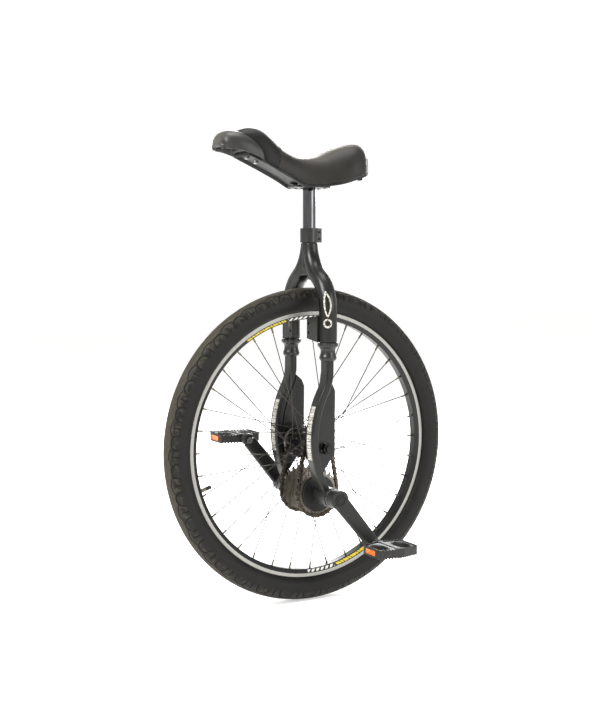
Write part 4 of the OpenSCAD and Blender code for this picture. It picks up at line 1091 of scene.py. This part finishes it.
def saddle_shells():
    """The nose shell with room for the fingers under it, and the tray that the pad sits in."""

    def finger_room(x, y, w):
        deep = np.clip((x - 162) / 6, 0, 1) * np.clip((207 - x) / 6, 0, 1)
        lip = np.clip((0.9 - y / w) / 0.06, 0, 1)
        return lip * (6 + deep * 18 * np.clip((0.84 - y / w) / 0.08, 0, 1))

    def pan(x, y, w):
        return 6 * np.clip((w - 3 - y) / 1.5, 0, 1) * (x > -112) * (x < 156)

    # Painted highlight: the shell's colour is made lighter within 14 mm of its top line, where the light
    # falls.
    def painted_top_highlight(p):
        return 0.8 * np.clip(1 - np.abs(height_over(NOSE_LINES, p) - p[:, 2]) / 14, 0, 1)

    made("nose_shell", [hood(NOSE_LINES, 2.8, 90, finger_room, 5)], handle_shell(), "seat",
         ["saddle_handle"], 50, {"crown": painted_top_highlight})
    made("saddle_tray", [hood(TRAY_LINES, 9, 110, pan, 1.5)], tray_plastic(), "seat",
         ["saddle_base"], 50)


def bumper():
    """A rounded block behind the seat, and the small tab that clips it under the tray."""
    back, low, high = span("rear_bumper")[0][0], span("rear_bumper")[0][2], span("rear_bumper")[1][2]
    face = rounded([(-30, low), (30, low), (30, high - 3), (18, high), (-18, high), (-30, high - 3)], 8)
    block = slab(face, back, back + 6, 2, lambda a, b, h: (h + 0.0016 * a * a, a, b))
    tab = rounded([(-8, low - 7), (8, low - 7), (8, low + 3), (-8, low + 3)], 2)
    clip = slab(tab, back + 2.5, back + 6, 0.8, lambda a, b, h: (h + 0 * a, a, b))
    made("saddle_bumper", [block], bumper_plastic(), "seat", ["rear_bumper"])
    made("bumper_clip", [clip], tray_plastic(), "seat")


def seat_post():
    """A plain tube with a small chamfer at its foot."""
    low, high = span("seat_post")[0][2], span("seat_post")[1][2]
    tube = turned(rounded([(0, low), (POST_R - 1, low), (POST_R, low + 1), (POST_R, high), (0, high)],
                          [0, 0.4, 0.4, 0.3, 0]), np.zeros(3), 96, axis=2)
    made("polished_post", [tube], dark_chrome(), "seat", ["seat_post"])


# ---------- CAD nodes that keep their shape ----------


def carried_over():
    """CAD nodes whose shape is right: some with eased edges, the rest with their material only."""
    coat, alloy, black, zinc = powder_coat(), cast_alloy(), black_oxide(), bright_zinc()
    ground, dyed, plain, chain = ground_steel(), anodised(), seal_rubber(), chain_steel()
    ring, plastic = brushed_ring(), tray_plastic()
    for node, material, slot, width in (
            ("seat_tube", coat, "frame_paint", 0.4), ("left_dropout_plate", coat, "frame_paint", 0.8),
            ("right_dropout_plate", coat, "frame_paint", 0.8), ("left_brake_mount", coat, "frame_paint", 0.8),
            ("right_brake_mount", coat, "frame_paint", 0.8), ("seat_clamp", alloy, "black_alloy", 0.7),
            ("left_bearing_shell", alloy, "black_alloy", 0.6),
            ("right_bearing_shell", alloy, "black_alloy", 0.6),
            ("seat_post_plate", alloy, "black_alloy", 0.5), ("axle_nuts", black, "black_oxide", 0.7),
            ("axle_washers", zinc, "zinc_steel", 0.3), ("axle_spacers", zinc, "zinc_steel", 0.4),
            ("left_ring_carrier", dyed, "anodised_black", 0.6),
            ("right_ring_carrier", dyed, "anodised_black", 0.6),
            ("clamp_bolts", black, "zinc_steel", 0.3), ("saddle_bolts", zinc, "zinc_steel", 0.4),
            ("valve_cap", plastic, "cap_plastic", 0.5)):
        eased(node, material, width)
    for material, nodes in (
            (ground, "crank_bearings hub_bearings left_crank_spindle right_crank_spindle "
                     "left_pedal_axle right_pedal_axle"), (black, "hub_axle"),
            (plain, "bearing_seals inner_tube"), (zinc, "sprocket_bolts"), (chain, "left_chain right_chain"),
            (dyed, "hub_shell"), (ring, "left_sprocket right_sprocket left_chainring right_chainring"),
            (spoke_steel(), "spokes"), (nipple_brass(), "nipples valve_stem"), (cotton_tape(), "rim_tape")):
        for node in nodes.split():
            mesh = frame["nodes"][node].data
            mesh.materials.clear()
            mesh.materials.append(material)


# ---------- camera, floor and light ----------


def camera():
    """Stands to the front left of the unicycle, a little above its axle."""
    data = bpy.data.cameras.new("camera")
    data.lens, data.sensor_width = 59.59, 36
    obj = bpy.data.objects.new("camera", data)
    right, up, back = (-0.8697, 0.4936, 0.0), (-0.0409, -0.0720, 0.9966), (0.4919, 0.8667, 0.0828)
    rows = [[right[k], up[k], back[k], place] for k, place in enumerate((1.2772, 2.2110, 0.7237))]
    obj.matrix_world = Matrix(rows + [[0, 0, 0, 1]])
    bpy.context.scene.collection.objects.link(obj)
    bpy.context.scene.camera = obj


def floor():
    """A pale floor that curves up into the backdrop far away: a quarter circle turned round Z."""
    r = np.concatenate([[0.01, 2, 9], 9 + 5 * np.sin(np.linspace(0.1, 1.5, 12))])
    z = np.concatenate([[0, 0, 0], 5 - 5 * np.cos(np.linspace(0.1, 1.5, 12))])
    turn = np.linspace(0, 2 * np.pi, 64, endpoint=False)[:, None]
    grid = np.stack([r * np.cos(turn), r * np.sin(turn), z + 0 * turn], -1) / MM
    points, faces = skin(grid, along=True)
    width = len(r)
    faces = [f for f in faces if not {f[0] % width, f[1] % width} == {0, width - 1}]
    pale = finish("pale studio floor", "#f6f5f3", "#faf9f8", 2000, (0.8, 0.9), 4, 0.0,
                  Emission_Color=linear("#ffffff"), Emission_Strength=0.4)
    obj = raw("floor", [(points, faces)], pale)
    obj.data.shade_smooth()


def lights():
    """Soft light from above and both sides, so that black parts show long highlights."""
    for name, place, aim, size, power in (
            ("key", (2.6, 0.6, 2.6), (0, 0, 0.5), 1.4, 150), ("fill", (-1.6, 2.8, 1.6), (0, 0, 0.5), 1.8, 60),
            ("top", (0, 0, 3.4), (0, 0, 0.5), 1.8, 75), ("rim", (-1.8, -2.4, 1.8), (0, 0, 0.5), 1.6, 110)):
        data = bpy.data.lights.new(name, "AREA")
        data.size, data.energy = size, power
        obj = bpy.data.objects.new(name, data)
        obj.location = place
        way = Matrix.Translation(aim).translation - Matrix.Translation(place).translation
        obj.rotation_euler = way.to_track_quat("-Z", "Y").to_euler()
        bpy.context.scene.collection.objects.link(obj)
    world = bpy.data.worlds.new("studio")
    world.use_nodes = True
    world.node_tree.nodes["Background"].inputs["Color"].default_value = linear("#fbfbfa")
    world.node_tree.nodes["Background"].inputs["Strength"].default_value = 0.5
    bpy.context.scene.world = world
    bpy.context.scene.view_settings.view_transform = "Standard"


camera()
floor()
lights()
tyre()
rim()
fork()
lower_legs()
collars()
crank_arms()
pedals()
saddle_pad()
saddle_shells()
bumper()
seat_post()
carried_over()
